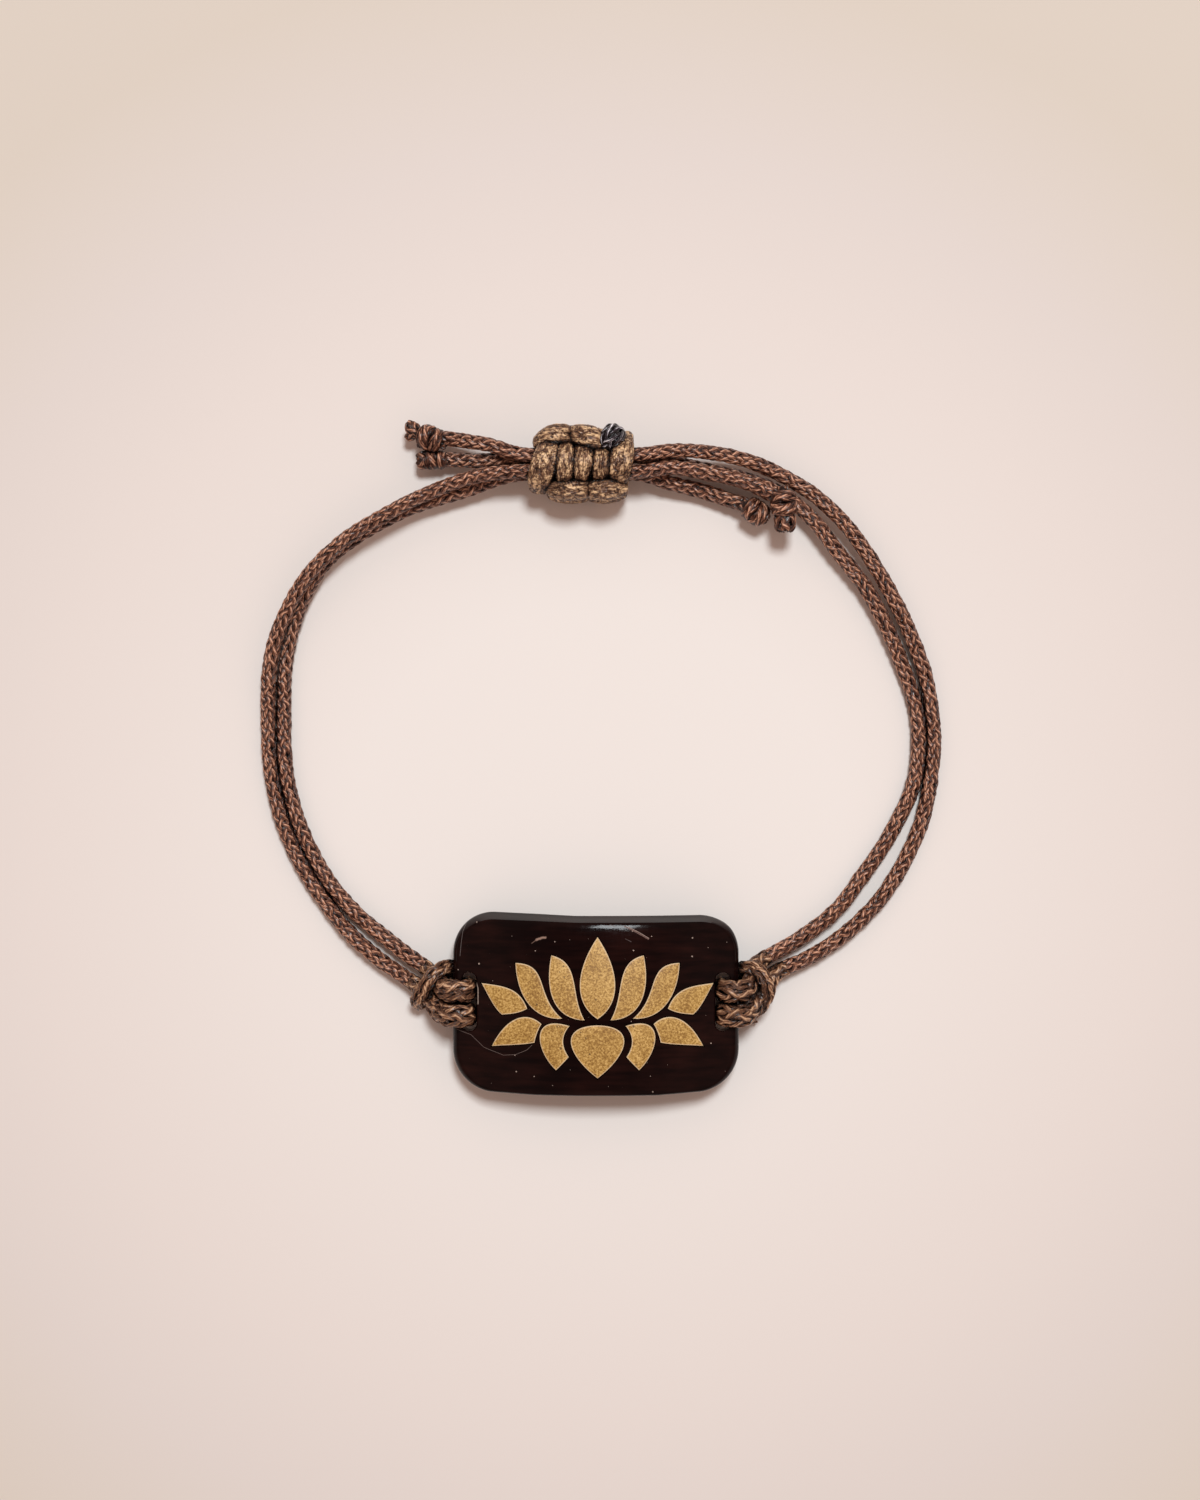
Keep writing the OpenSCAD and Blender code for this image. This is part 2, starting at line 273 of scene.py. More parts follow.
def cubic(a, b, c, d, t):
    # points on a cubic curve from a to d, with the handles b and c
    a, b, c, d, t = *(np.array(p, float) for p in (a, b, c, d)), t[:, None]
    return a * (1 - t) ** 3 + 3 * b * (1 - t) ** 2 * t + 3 * c * (1 - t) * t * t + d * t ** 3


def spread(values, count):
    # a few values spread evenly over count points
    return np.interp(np.linspace(0, 1, count), np.linspace(0, 1, len(values)), values)


def normalised(v):
    return v / np.maximum(np.linalg.norm(v, axis=-1, keepdims=True), 1e-12)


def routeFrames(points, across=None):
    # heading, sideways and upward direction at each point; sideways keeps to the given one
    ahead = normalised(np.gradient(points, axis=0))
    if across is None:
        side = np.zeros_like(points)
        start = np.cross([0, 0, 1], ahead[0])
        side[0] = normalised(start if np.linalg.norm(start) > 1e-6 else np.array([1.0, 0, 0]))
        for i in range(1, len(points)):
            side[i] = normalised(side[i - 1] - ahead[i] * np.dot(side[i - 1], ahead[i]))
    else:
        hint = np.broadcast_to(np.array(across, float), points.shape)
        side = normalised(hint - ahead * np.sum(hint * ahead, axis=1)[:, None])
    return ahead, side, np.cross(ahead, side)


def keepOnPoints(mesh, title, values):
    # a number or a direction for each point, kept as an attribute
    kind, field = ("FLOAT_VECTOR", "vector") if np.ndim(values) == 2 else ("FLOAT", "value")
    mesh.attributes.new(title, kind, "POINT").data.foreach_set(field, np.array(values, np.float32).ravel())


def routeObject(name, routes):
    # each route: points in mm, width and height in mm (one number or one per point), optional across
    parts, edges, base = [], [], 0
    for route in routes:
        points = np.array(route["points"], float)
        ahead, side, up = routeFrames(points, route.get("across"))
        width = np.broadcast_to(np.array(route["width"], float), (len(points),))
        height = np.broadcast_to(np.array(route.get("height", route["width"]), float), (len(points),))
        parts.append((points, side * width[:, None] / 2, up * height[:, None] / 2,
                      runAlong(points) + route.get("start", 0)))
        edges += [(base + i, base + i + 1) for i in range(len(points) - 1)]
        base += len(points)
    points, across, upward, along = (np.concatenate(column) * mm for column in zip(*parts))
    mesh = bpy.data.meshes.new(name)
    mesh.from_pydata(points.tolist(), edges, [])
    for title, values in (("across", across), ("upward", upward), ("along", along)):
        keepOnPoints(mesh, title, values)
    return newObject(name, mesh)


def newTree(title, numbers, counts=()):
    # a geometry tree with a named input for each number and each count, and its input sockets
    tree = bpy.data.node_groups.new(title, "GeometryNodeTree")
    kinds = [("Geometry", "Geometry")] + [(n, "Int") for n in counts] + [(n, "Float") for n in numbers]
    for name, kind in kinds + [("Material", "Material")]:
        tree.interface.new_socket(name, in_out="INPUT", socket_type="NodeSocket" + kind)
    tree.interface.new_socket("Geometry", in_out="OUTPUT", socket_type="NodeSocketGeometry")
    return tree, tree.nodes.new("NodeGroupInput").outputs


def endTree(tree, geometry, material):
    real = through(tree, "GeometryNodeRealizeInstances", {"Geometry": geometry})
    soft = through(tree, "GeometryNodeSetShadeSmooth", {"Geometry": real})
    done = through(tree, "GeometryNodeSetMaterial", {"Geometry": soft, "Material": material})
    tree.links.new(done, tree.nodes.new("NodeGroupOutput").inputs[0])
    return tree


def named(tree, title, kind="FLOAT"):
    return through(tree, "GeometryNodeInputNamedAttribute", {"Name": title}, data_type=kind)


def stored(tree, geometry, title, value):
    inputs = {"Geometry": geometry, "Name": title, "Value": value}
    return through(tree, "GeometryNodeStoreNamedAttribute", inputs, data_type="FLOAT")


def makeBraidTree():
    tree, given = newTree("braided cord", ("Pitch", "Yarn width", "Yarn thickness", "Over and under", "Unevenness",
                                           "Core"), ("Yarns each way",))
    across, upward = (named(tree, title, "FLOAT_VECTOR") for title in ("across", "upward"))
    along = named(tree, "along")
    yarns, pitch = given["Yarns each way"], given["Pitch"]
    thickness, sway = given["Yarn thickness"], given["Over and under"]
    line = through(tree, "GeometryNodeMeshToCurve", {"Mesh": given["Geometry"]})
    copies = addNode(tree, "GeometryNodeDuplicateElements", {"Geometry": line, "Amount": times(yarns, 2)},
                     domain="SPLINE")
    number = copies.outputs["Duplicate Index"]
    # half of the yarns wind one way and half the other
    way = doMath("MULTIPLY_ADD", doMath("GREATER_THAN", number, minus(yarns, 0.5)), -2, 1)
    place = doMath("MODULO", number, yarns)
    turn = plus(doMath("DIVIDE", place, yarns), times(way, doMath("DIVIDE", along, pitch)))
    jitterAt = through(tree, "ShaderNodeCombineXYZ", {"X": times(along, 700), "Y": times(number, 3.7)})
    uneven = times(minus(noise(jitterAt, 1.0, 1.0), 0.5), given["Unevenness"])
    angle = times(plus(turn, times(uneven, 0.12)), math.pi * 2)
    # each yarn rises over one of the other way and dips under the next
    crossings = doMath("DIVIDE", times(along, times(yarns, 2)), pitch)
    beat = plus(times(way, crossings), times(place, 2))
    wave = times(way, doMath("COSINE", doMath("MULTIPLY_ADD", beat, math.pi / 2, -math.pi / 4)))
    spoke = doVector("ADD", doVector("SCALE", across, doMath("COSINE", angle)),
                     doVector("SCALE", upward, doMath("SINE", angle)))
    outward = doVector("NORMALIZE", spoke)
    radius = plus(minus(doVector("LENGTH", spoke, out=1), doMath("MULTIPLY_ADD", thickness, 0.5, sway)),
                  times(sway, plus(wave, times(uneven, 0.8))))
    laid = through(tree, "GeometryNodeSetPosition",
                   {"Geometry": copies.outputs["Geometry"], "Offset": doVector("SCALE", outward, radius)})
    keep = through(tree, "GeometryNodeSetCurveNormal", {"Curve": laid, "Normal": outward}, mode="FREE")
    keep = stored(tree, keep, "lift", doMath("MULTIPLY_ADD", wave, 0.5, 0.5))
    keep = stored(tree, keep, "yarn", number)
    # a dark core keeps daylight out from between the yarns
    both = tree.nodes.new("GeometryNodeJoinGeometry")
    for path, corners, x, y in ((line, 8, given["Core"], given["Core"]), (keep, 6, thickness, given["Yarn width"])):
        ring = through(tree, "GeometryNodeCurvePrimitiveCircle", {"Resolution": corners, "Radius": 0.5})
        if path is keep:
            ring = stored(tree, ring, "around", through(tree, "GeometryNodeSplineParameter"))
        size = through(tree, "ShaderNodeCombineXYZ", {"X": x, "Y": y, "Z": 1.0})
        ring = through(tree, "GeometryNodeTransform", {"Geometry": ring, "Scale": size})
        tube = through(tree, "GeometryNodeCurveToMesh", {"Curve": path, "Profile Curve": ring, "Fill Caps": True})
        tree.links.new(tube, both.inputs[0])
    return endTree(tree, both.outputs[0], given["Material"])


braidTree = makeBraidTree()


def runTree(piece, tree, values):
    # the tree's result as a plain mesh on the piece itself
    modifier = piece.modifiers.new("tree", "NODES")
    modifier.node_group = tree
    for item in tree.interface.items_tree:
        if item.in_out == "INPUT" and item.name in values:
            modifier[item.identifier] = values[item.name]
    shown = piece.evaluated_get(bpy.context.evaluated_depsgraph_get())
    made = bpy.data.meshes.new_from_object(shown)
    piece.modifiers.remove(modifier)
    piece.data = made
    made.name = piece.name
    return piece


def shapedRoute(shape, middle=(0, 0, 0), step=0.12):
    # a route whose width and height change evenly along it
    line = smoothRoute(np.array(shape["points"]) + middle, step)
    return {"points": line, "width": spread(shape["width"], len(line)), "height": spread(shape["height"], len(line))}


def braid(name, routes, weave, material):
    piece = routeObject(name, routes)
    values = {"Yarns each way": weave["yarns"], "Pitch": weave["pitch"] * mm, "Yarn width": weave["width"] * mm,
              "Yarn thickness": weave["thickness"] * mm, "Over and under": weave["wave"] * mm,
              "Unevenness": weave["uneven"], "Core": weave["core"] * mm, "Material": material}
    return runTree(piece, braidTree, values)


# The four strands, each from its hitch round the loop and through the sliding knot; centre lines in mm

cordSet = {
    "thick": 2.0,           # mm, over the yarns
    "drawn": 0.14,          # mm, how much thinner a strand is where it runs highest
    "drawnOver": (1.5, 3.0),  # mm, the height where it starts to thin, and the rise over which it does
    "together": 1.84,       # mm, how near the two strands of a side are drawn where they lie side by side
    "near": 2.9,            # mm, strands further apart than this are left where they are
    "pull": 0.34,           # mm, the most that either is moved for that
    "ease": 12,             # points to each side over which the move is evened out
    "drawnAlong": {"left": (-20.5, 40.0), "right": (-5.0, 8.5)},   # y between which that is done
    "step": 0.25,           # mm between the points of a smooth centre line
    "knotY": (35.2, 37.3),  # where the strands lie side by side in the sliding knot
    "knotZ": (2.95, 5.05),
}
weave = {"yarns": 10, "pitch": 14.0, "width": 0.66, "thickness": 0.38, "wave": 0.13, "uneven": 2.2, "core": 1.1}

nearY, farY = cordSet["knotY"]
lowZ, highZ = cordSet["knotZ"]
strandRoutes = {
    "left_outer": [
        (-23.2, -27.5, 2.2), (-27.36, -24.61, 1.9), (-31.93, -20.46, 1.5), (-36.19, -14.72, 1.15),
        (-39.22, -8.18, 1.1), (-40.6, -1.5, 1.2), (-40.85, 5.5, 1.5), (-40.32, 12.39, 2.5), (-38.42, 17.7, 3.4),
        (-35.68, 22.33, 3.95), (-31.53, 26.48, 4.35), (-26.6, 29.63, 4.5), (-20.89, 32.52, 4.55),
        (-14.98, 34.58, 4.85), (-9.5, nearY, highZ), (-1.9, nearY, highZ), (5.2, nearY, highZ),
        (9.3, 35.8, 4.6), (13.5, 35.4, 4.2), (18, 34.4, 4.2), (22.1, 32.25, 4.65)],
    "left_inner": [
        (-21.4, -25.8, 2.2), (-25.4, -22.9, 1.75), (-29.79, -18.88, 1.5), (-33.53, -14.28, 1.2),
        (-36.55, -8.42, 1), (-38.4, -2, 1), (-38.8, 5, 1), (-38.68, 12.01, 1.1), (-36.88, 18.88, 1.55),
        (-33.57, 24.35, 2.1), (-28.55, 28.18, 2.4), (-22.8, 31.1, 2.45), (-16.5, 33.1, 2.5),
        (-9.5, nearY, lowZ), (-1.9, nearY, lowZ), (5.2, nearY, lowZ), (9.4, 34, 2.2), (13.9, 32.7, 1.7),
        (18.45, 31.15, 2.35)],
    "right_outer": [
        (23.6, -26, 2.2), (27.61, -24.12, 1.78), (31.69, -21.26, 1.53), (35.67, -17.14, 1.27),
        (38.79, -12.11, 1), (41.19, -5.95, 1), (42.27, 1, 1), (41.52, 8.48, 1), (39.17, 15.29, 1.35),
        (36, 21.6, 1.84), (31.9, 27.8, 2.3), (27.26, 32.45, 2.5), (21, 36, 2.78), (15.5, 37.5, 3.61),
        (10, 37.9, 4.4), (5.2, farY, highZ), (-1.9, farY, highZ), (-9, farY, highZ), (-13.2, 38.6, 4.4),
        (-19, 39.65, 2.9)],
    "right_inner": [
        (21.4, -24.6, 2.2), (25.52, -22.27, 1.79), (29.74, -19.03, 1.51), (33.2, -14.63, 1.22),
        (36.56, -9.65, 1), (39.07, -4.08, 1), (40.05, 2.3, 1), (39.22, 8.27, 1), (36.96, 14.51, 1.33),
        (33.71, 20.83, 1.86), (29.6, 26.1, 2.29), (26.6, 29.9, 2.5), (22.6, 33, 2.2), (18, 34.8, 1.96),
        (13, 35.9, 1.92), (9, 36.8, 2.4), (5.2, farY, lowZ), (-1.9, farY, lowZ), (-9, farY, lowZ),
        (-14, 36.9, 2.2), (-18.6, 37.1, 2.1)],
}


def drawTogether(c, line, other, span):
    # the line moved a little towards the other where they almost touch
    between = other[None, :, :2] - line[:, None, :2]
    apart = np.linalg.norm(between, axis=2)
    nearest = np.argmin(apart, axis=1)
    rows = np.arange(len(line))
    apart, way = apart[rows, nearest], normalised(between[rows, nearest])
    close = (apart < c["near"]) & (line[:, 1] > span[0]) & (line[:, 1] < span[1])
    pull = np.where(close, np.clip((apart - c["together"]) / 2, 0, c["pull"]), 0)
    ease = 2 * c["ease"] + 1
    pull = np.convolve(np.pad(pull, c["ease"], mode="edge"), np.ones(ease) / ease, mode="valid")
    moved = line.copy()
    moved[:, :2] += way * pull[:, None]
    return moved


plainPaths = {key: smoothRoute(points, cordSet["step"]) for key, points in strandRoutes.items()}
strandPaths = {}
for side, span in cordSet["drawnAlong"].items():
    for one, other in (("_outer", "_inner"), ("_inner", "_outer")):
        strandPaths[side + one] = drawTogether(cordSet, plainPaths[side + one], plainPaths[side + other], span)
strands = {}
for number, (key, line) in enumerate(strandPaths.items()):
    low, rise = cordSet["drawnOver"]
    width = cordSet["thick"] - cordSet["drawn"] * np.clip((line[:, 2] - low) / rise, 0, 1)
    strands[key] = braid("strand_" + key + "_braid", [{"points": line, "width": width, "start": number * 2.3}],
                         weave, yarnMaterial)
print("strands braided")


# Hitches: two flattened legs through the slot and a collar round both strands, in mm

hitchSet = {
    "legWidth": 2.95,
    "legHeight": 2.15,
    "legReach": ((19.6, 5.2), (17.7, 6.35)),                # handles over the plate's end: x, z
    "legDive": ((16.6, 6.45), (15.75, 5.9), (15.6, 4.4), (15.6, 2.4), (16.1, 1.6), (17, 1.25), (18.6, 1.2),
                (19.8, 1.4)),                               # down the slot and out under the plate's end: x, z
    "legY": (-31.55, -28.5),                                # lower and upper leg
    "legWidens": 3.2,                                       # its whole length over the stretch where it widens
    "collarWidth": 2.0,
    "collarHeight": 1.3,
    "collars": {
        "left": [(-17.6, -25.9, 2.4), (-18.6, -25.7, 4.1), (-19.9, -26.6, 5.0), (-21.1, -28.2, 4.9),
                 (-22.0, -29.8, 3.7), (-22.1, -30.5, 2.1), (-20.9, -29.8, 1.0), (-19.1, -27.8, 0.9),
                 (-17.9, -26.4, 1.3)],
        "right": [(17.4, -26.4, 2.3), (18.4, -25.7, 4.0), (19.8, -26.1, 5.0), (20.9, -27.6, 5.1),
                  (21.1, -29.3, 4.6), (20.3, -30.9, 3.6), (19.2, -31.7, 2.2), (18.4, -30.6, 1.0),
                  (18.0, -28.2, 0.9), (17.5, -26.7, 1.3)],
    },
}
hitchWeave = dict(weave, yarns=9, pitch=14.0, width=0.92, thickness=0.46, wave=0.17, uneven=2.6)
# the same painted highlight and painted shade as the strands, the shade reaching further into the hollows
hitchLook = dict(yarnLook, brown=linear(74, 44, 31), russet=linear(136, 94, 68), tan=linear(214, 174, 138),
                 shadeReach=0.8, tone=-0.815)


def legRoute(h, strandPoints, side, y):
    start, after = np.array(strandPoints[0], float), np.array(strandPoints[1], float)
    back = normalised(start - after)
    rise = cubic(start + back, start + 3 * back, *((side * x, y, z) for x, z in h["legReach"]), np.linspace(0, 1, 7))
    return [start, *rise] + [(side * x, y, z) for x, z in h["legDive"]]


def makeHitch(h, name, side):
    routes = []
    for key, y in zip(("outer", "inner"), h["legY"]):
        line = smoothRoute(legRoute(h, strandRoutes[name + "_" + key], side, y), cordSet["step"])
        share = np.clip(np.linspace(0, h["legWidens"], len(line)), 0, 1)
        routes.append({"points": line, "across": (0, 1, 0), "start": 3 * y,
                       "width": cordSet["thick"] + (h["legWidth"] - cordSet["thick"]) * share,
                       "height": cordSet["thick"] + (h["legHeight"] - cordSet["thick"]) * share})
    collar = h["collars"][name]
    routes.append({"points": smoothRoute(collar + [collar[0]], cordSet["step"]), "width": h["collarWidth"],
                   "height": h["collarHeight"], "across": (side, 0.8, 0.1)})
    return braid("hitch_" + name + "_braid", routes, hitchWeave, hitchMaterial)


hitchMaterial = makeYarnMaterial("waxed yarn of the hitches", hitchLook)
hitches = {"left": makeHitch(hitchSet, "left", -1), "right": makeHitch(hitchSet, "right", 1)}
print("hitches tied")


# Stopper knots: two wraps and a crossing turn round each strand's end, then the cut stub

stopperSet = {
    "wraps": ((-0.78, -10, 0.95, 1.65), (0.56, 14, 0.92, 1.65), (-0.1, 38, 1.0, 1.32)),  # place, tilt, size and width
    "wrapHeight": 1.35,
    "neck": (-2.2, 0.6, 1.5),       # where the cord enters, where it leaves, and its thickness there
    "head": 1.9,                    # thickness of a cut end with a flare of 1
    "roundEnd": (0.6, 0.45),        # length and strength of the rounding at the cut
    "left_upper": {"at": (-20.65, 39.6, 2.9), "turn": 160, "half": (1.66, 1.7), "stub": 1.5, "flare": 0.9},
    "left_lower": {"at": (-20.1, 37.0, 2.3), "turn": 182, "half": (1.2, 1.3), "stub": 2.1, "flare": 1.25},
    "right_upper": {"at": (23.1, 31.15, 4.9), "turn": -86, "half": (1.72, 1.75), "stub": 3.25, "flare": 1.5},
    "right_lower": {"at": (19.9, 30.4, 2.9), "turn": -35, "half": (1.6, 1.7), "stub": 1.6, "flare": 1.0},
    "tuft": [                                               # the splayed end of the upper left one
        {"points": [(-21.3, 40.1, 2.9), (-21.9, 40.3, 2.95), (-22.5, 40.65, 2.9), (-23.0, 41.15, 2.8),
                    (-23.25, 41.6, 2.7)],
         "width": (1.3, 1.4, 1.9, 1.9, 1.1), "height": (1.3, 1.4, 1.7, 1.6, 1.0)},
        {"points": [(-21.6, 40.15, 2.8), (-22.4, 40.2, 2.7), (-23.0, 40.0, 2.5), (-23.45, 39.65, 2.3)],
         "width": (1.1, 1.5, 1.6, 1.0), "height": (1.1, 1.3, 1.3, 0.9)},
    ],
}
stopperWeave = dict(weave, yarns=6, pitch=11.0, width=0.82, thickness=0.3, wave=0.08, core=1.0)
tuftWeave = dict(weave, yarns=6, pitch=9.0, width=0.6, thickness=0.32, wave=0.1, core=0.9, uneven=2.5)


def makeStopper(s, name):
    k = s[name]
    halfY, halfZ = (half - s["wrapHeight"] / 2 for half in k["half"])
    turn = math.radians(k["turn"])
    spin = np.array([[math.cos(turn), -math.sin(turn), 0], [math.sin(turn), math.cos(turn), 0], [0, 0, 1]])
    a = np.radians(np.linspace(-90, 270, 61))
    routes = []
    for shift, tilt, size, width in s["wraps"]:
        lean = math.tan(math.radians(tilt))
        local = np.column_stack([shift + lean * halfY * np.sin(a) * 0.8, halfY * np.cos(a) * size,
                                 halfZ * np.sin(a) * size])
        routes.append({"points": local @ spin.T + k["at"], "width": width, "height": s["wrapHeight"],
                       "across": spin @ np.array((1, lean, 0)), "start": 5 * shift})
    enters, leaves, neck = s["neck"]
    reach, strength = s["roundEnd"]
    end = np.linspace(enters, k["stub"], 24)
    widening = np.clip((end - leaves) / max(0.3, 0.5 * k["stub"] - leaves), 0, 1)
    fat = neck + (s["head"] * k["flare"] - neck) * widening
    fat *= np.sqrt(1 - strength * np.clip(1 - (k["stub"] - end) / reach, 0, 1) ** 2)
    local = np.column_stack([end, 0 * end, 0 * end])
    routes.append({"points": local @ spin.T + k["at"], "width": fat, "height": fat * 0.9})
    return braid("knot_" + name + "_braid", routes, stopperWeave, yarnMaterial)


stoppers = {name: makeStopper(stopperSet, name)
            for name in ("left_upper", "left_lower", "right_upper", "right_lower")}
tuft = braid("knot_left_upper_tuft", [shapedRoute(lobe) for lobe in stopperSet["tuft"]], tuftWeave, yarnMaterial)
print("stoppers tied")


# Sliding knot: crinkled waxed wraps, measured in mm from its middle

sliderSet = {
    "middle": (-1.9, 36.25, 4.0),
    "coarse": 0.1,          # mm, depth of the broad dents
    "crease": 0.1,          # mm, depth of the creases
    "grain": 0.05,          # mm, depth of the fine wrinkles
    # bars over the strands: points x, y, z and their widths; the height is the thickness of the wrap
    "bars": [
        {"points": [(-3.85, 2.4, 0.2), (-3.85, 1.9, 1.7), (-4.0, 1.0, 2.65), (-4.45, -0.3, 2.85), (-4.85, -1.6, 2.4),
                    (-5.05, -2.4, 1.3), (-5.0, -2.8, -0.3)], "width": (2.2, 2.7, 3.1, 3.3, 3.1, 2.8, 2.3)},
        {"points": [(-1.85, 2.3, 0.2), (-1.85, 1.75, 1.6), (-1.85, 0.9, 2.7), (-1.9, -0.3, 2.95), (-1.95, -1.4, 2.45),
                    (-1.95, -2.1, 1.3), (-1.9, -2.4, 0)], "width": (2.0, 2.2, 2.4, 2.45, 2.35, 2.1, 1.9)},
        {"points": [(0.35, 1.9, 0.1), (0.35, 1.35, 1.7), (0.35, 0.6, 2.7), (0.3, -0.4, 2.9), (0.1, -1.35, 2.3),
                    (-0.1, -1.9, 1.2), (-0.1, -2.2, 0)], "width": (2.0, 2.3, 2.55, 2.6, 2.2, 1.7, 1.6)},
        {"points": [(2.5, 1.7, 0.1), (2.5, 1.05, 1.6), (2.5, 0.3, 2.6), (2.5, -0.5, 2.85), (2.45, -1.25, 2.3),
                    (2.4, -1.9, 1.2), (2.35, -2.2, 0)], "width": (1.9, 2.2, 2.4, 2.4, 2.2, 1.9, 1.7)},
        {"points": [(5.75, 3.4, -0.9), (5.7, 2.7, 0.7), (5.3, 1.4, 2.3), (4.9, -0.1, 2.9), (4.7, -1.3, 2.4),
                    (4.6, -2.2, 0.8)], "width": (1.4, 1.7, 2.5, 3.0, 2.8, 2.3)},
    ],
    "barHeight": 2.1,
    # loops along both sides, top view; each goes down through the knot's height
    "loops": [
        {"points": [(-4.75, 2.1, 0.3), (-4.3, 2.75, 1.3), (-3.4, 3.3, 1.85), (-2.3, 3.4, 1.6), (-1.6, 3.2, 0.6)],
         "width": (1.6, 2.2, 2.6, 2.7, 2.3)},
        {"points": [(-0.9, 3.45, 0.3), (-0.2, 3.35, 1.5), (0.8, 3.15, 1.95), (1.85, 2.75, 1.75), (2.5, 2.35, 0.6)],
         "width": (2.2, 2.7, 2.9, 3.0, 2.5)},
        {"points": [(-3.3, -3.15, 0.3), (-2.7, -3.3, 1.2), (-1.4, -3.4, 1.7), (-0.2, -3.3, 1.4), (0.6, -3.1, 0.3)],
         "width": (2.1, 2.5, 2.6, 2.6, 2.1)},
        {"points": [(1.5, -3.2, 0.2), (2.0, -3.3, 1.3), (3.1, -3.35, 1.75), (4.2, -3.2, 1.3), (4.9, -3.0, 0.2)],
         "width": (2.0, 2.6, 2.7, 2.5, 2.0)},
    ],
    "loopHeight": 3.0,
    "strand": {"points": [(-1.6, 3.75, 0.9), (-1.1, 4.0, 1.6), (-0.5, 4.0, 1.7), (0.2, 3.8, 1.2)],
               "width": (0.8, 1.1, 1.1, 0.8)},
    "packing": (2.6, -2.6),     # y of the hidden runs that close the knot's sides
}
waxLook = {
    # deep: the near-black of the painted shade between the wraps
    "deep": linear(12, 7, 5),
    "shade": linear(73, 47, 34),
    "khaki": linear(127, 90, 65),
    "gold": linear(241, 202, 156),
    "stops": ((0.0, "deep"), (0.3, "shade"), (0.52, "khaki"), (0.8, "gold")),
    "tone": -1.41,
    "shares": {"broad": 0.35, "wrinkle": 1.3, "speck": 0.26, "crease": -0.25, "crack": -0.3, "open": 1.15},
    "shadeReach": 1.0,          # mm within which a neighbour paints shade into the hollows
    "wrinkles": (0.9, 2.5, 2.5),    # to the mm, along a wrap and round it
    "cracks": (1.2, 2.6, 2.6),
    "crackSharpness": 16,
    "broadScale": 600.0,    # to the metre
    "speckScale": 5200.0,
    "gloss": 0.45,
    "relief": (0.9, 0.42),
}


def makeWraps(name, routes, around=40, step=0.1, square=2.6, cap=0.9):
    # closed wraps along routes, a little squarer than an ellipse, with rounded ends of length cap;
    # the crinkling and the wax read their flow: the place along the wrap and round it
    verts, faces, flow = [], [], []
    turns = 2 * math.pi * np.arange(around) / around
    c, s = np.cos(turns), np.sin(turns)
    flat = (np.abs(c) ** square + np.abs(s) ** square) ** (-1 / square)
    for index, route in enumerate(routes):
        line = smoothRoute(route["points"], step)
        width = spread(route["width"], len(line))
        ahead, side, up = routeFrames(line, route["across"])
        run = np.arange(len(line)) * step
        edge = np.minimum(run, run[-1] - run) / cap
        close = np.sqrt(np.clip(1 - (1 - np.clip(edge, 0, 1)) ** 2, 0, 1))
        base, rings = len(verts), len(line) - 2
        for i in range(1, rings + 1):
            verts += list(line[i] + np.outer(c * flat * width[i] / 2 * close[i], side[i])
                          + np.outer(s * flat * route["height"] / 2 * close[i], up[i]))
            flow += [(run[i], x, y) for x, y in zip(c * 1.1 + index * 7.3, s * 1.1)]
        for i in range(rings - 1):
            for k in range(around):
                a, b = base + i * around + k, base + i * around + (k + 1) % around
                faces.append((a, b, b + around, a + around))
        for ring, end, outward in ((0, 0, False), (rings - 1, -1, True)):
            verts.append(line[end])
            flow.append((run[end], index * 7.3, 0))
            for k in range(around):
                a, b = base + ring * around + k, base + ring * around + (k + 1) % around
                faces.append((a, b, len(verts) - 1) if outward else (b, a, len(verts) - 1))
    mesh = bpy.data.meshes.new(name)
    mesh.from_pydata((np.array(verts) * mm).tolist(), [], faces)
    keepOnPoints(mesh, "flow", flow)
    return newObject(name, mesh)


def makeCrinkleTree():
    tree, given = newTree("crinkled wax", ("Coarse", "Crease", "Grain"))
    flow = named(tree, "flow", "FLOAT_VECTOR")
    bend = doVector("SCALE", noise(flow, 1.6, out=1), 0.9)
    bent = doVector("ADD", doVector("MULTIPLY", flow, (0.6, 1.0, 1.0)), bend)
    crease = lines(noise(bent, 2.9), 18)
    push = minus(times(minus(noise(flow, 0.8, 1.0), 0.5), given["Coarse"]), times(crease, given["Crease"]))
    push = plus(push, times(minus(noise(bent, 6.5, 3.0), 0.5), times(given["Grain"], 4)))
    offset = doVector("SCALE", through(tree, "GeometryNodeInputNormal"), push)
    moved = through(tree, "GeometryNodeSetPosition", {"Geometry": given["Geometry"], "Offset": offset})
    return endTree(tree, stored(tree, moved, "crease", crease), given["Material"])


def makeWaxMaterial(name, look):
    material, tree, shader = newMaterial(name)
    flow, spot = attribute(tree, "flow", "Vector"), objectSpot(tree)
    runs = doVector("ADD", doVector("MULTIPLY", flow, look["wrinkles"]), noise(flow, 1.3, out=1))
    cracks = doVector("MULTIPLY", flow, look["cracks"])
    parts = {
        "broad": noise(spot, look["broadScale"]),
        "wrinkle": noise(runs, 1.0, 3.0, {"Roughness": 0.6}),
        "speck": noise(spot, look["speckScale"]),
        # painted shade: the colour is darkened along the creases the crinkle tree pressed into the wraps
        "crease": attribute(tree, "crease"),
        "crack": lines(noise(cracks, 1.0, 2.0, {"Distortion": 0.8}), look["crackSharpness"]),
        # painted shade: hollows between the wraps are darkened in the colour, down to the deep near-black
        "open": openness(tree, look["shadeReach"], 8, only_local=True),
    }
    colour = tinted(weighed(parts, look), look)
    height = plus(times(parts["speck"], 0.15), times(parts["crack"], -0.25), parts["wrinkle"])
    rough = doMath("MULTIPLY_ADD", parts["speck"], 0.3, 0.16)
    dress(shader, look, colour, rough, height)
    return material


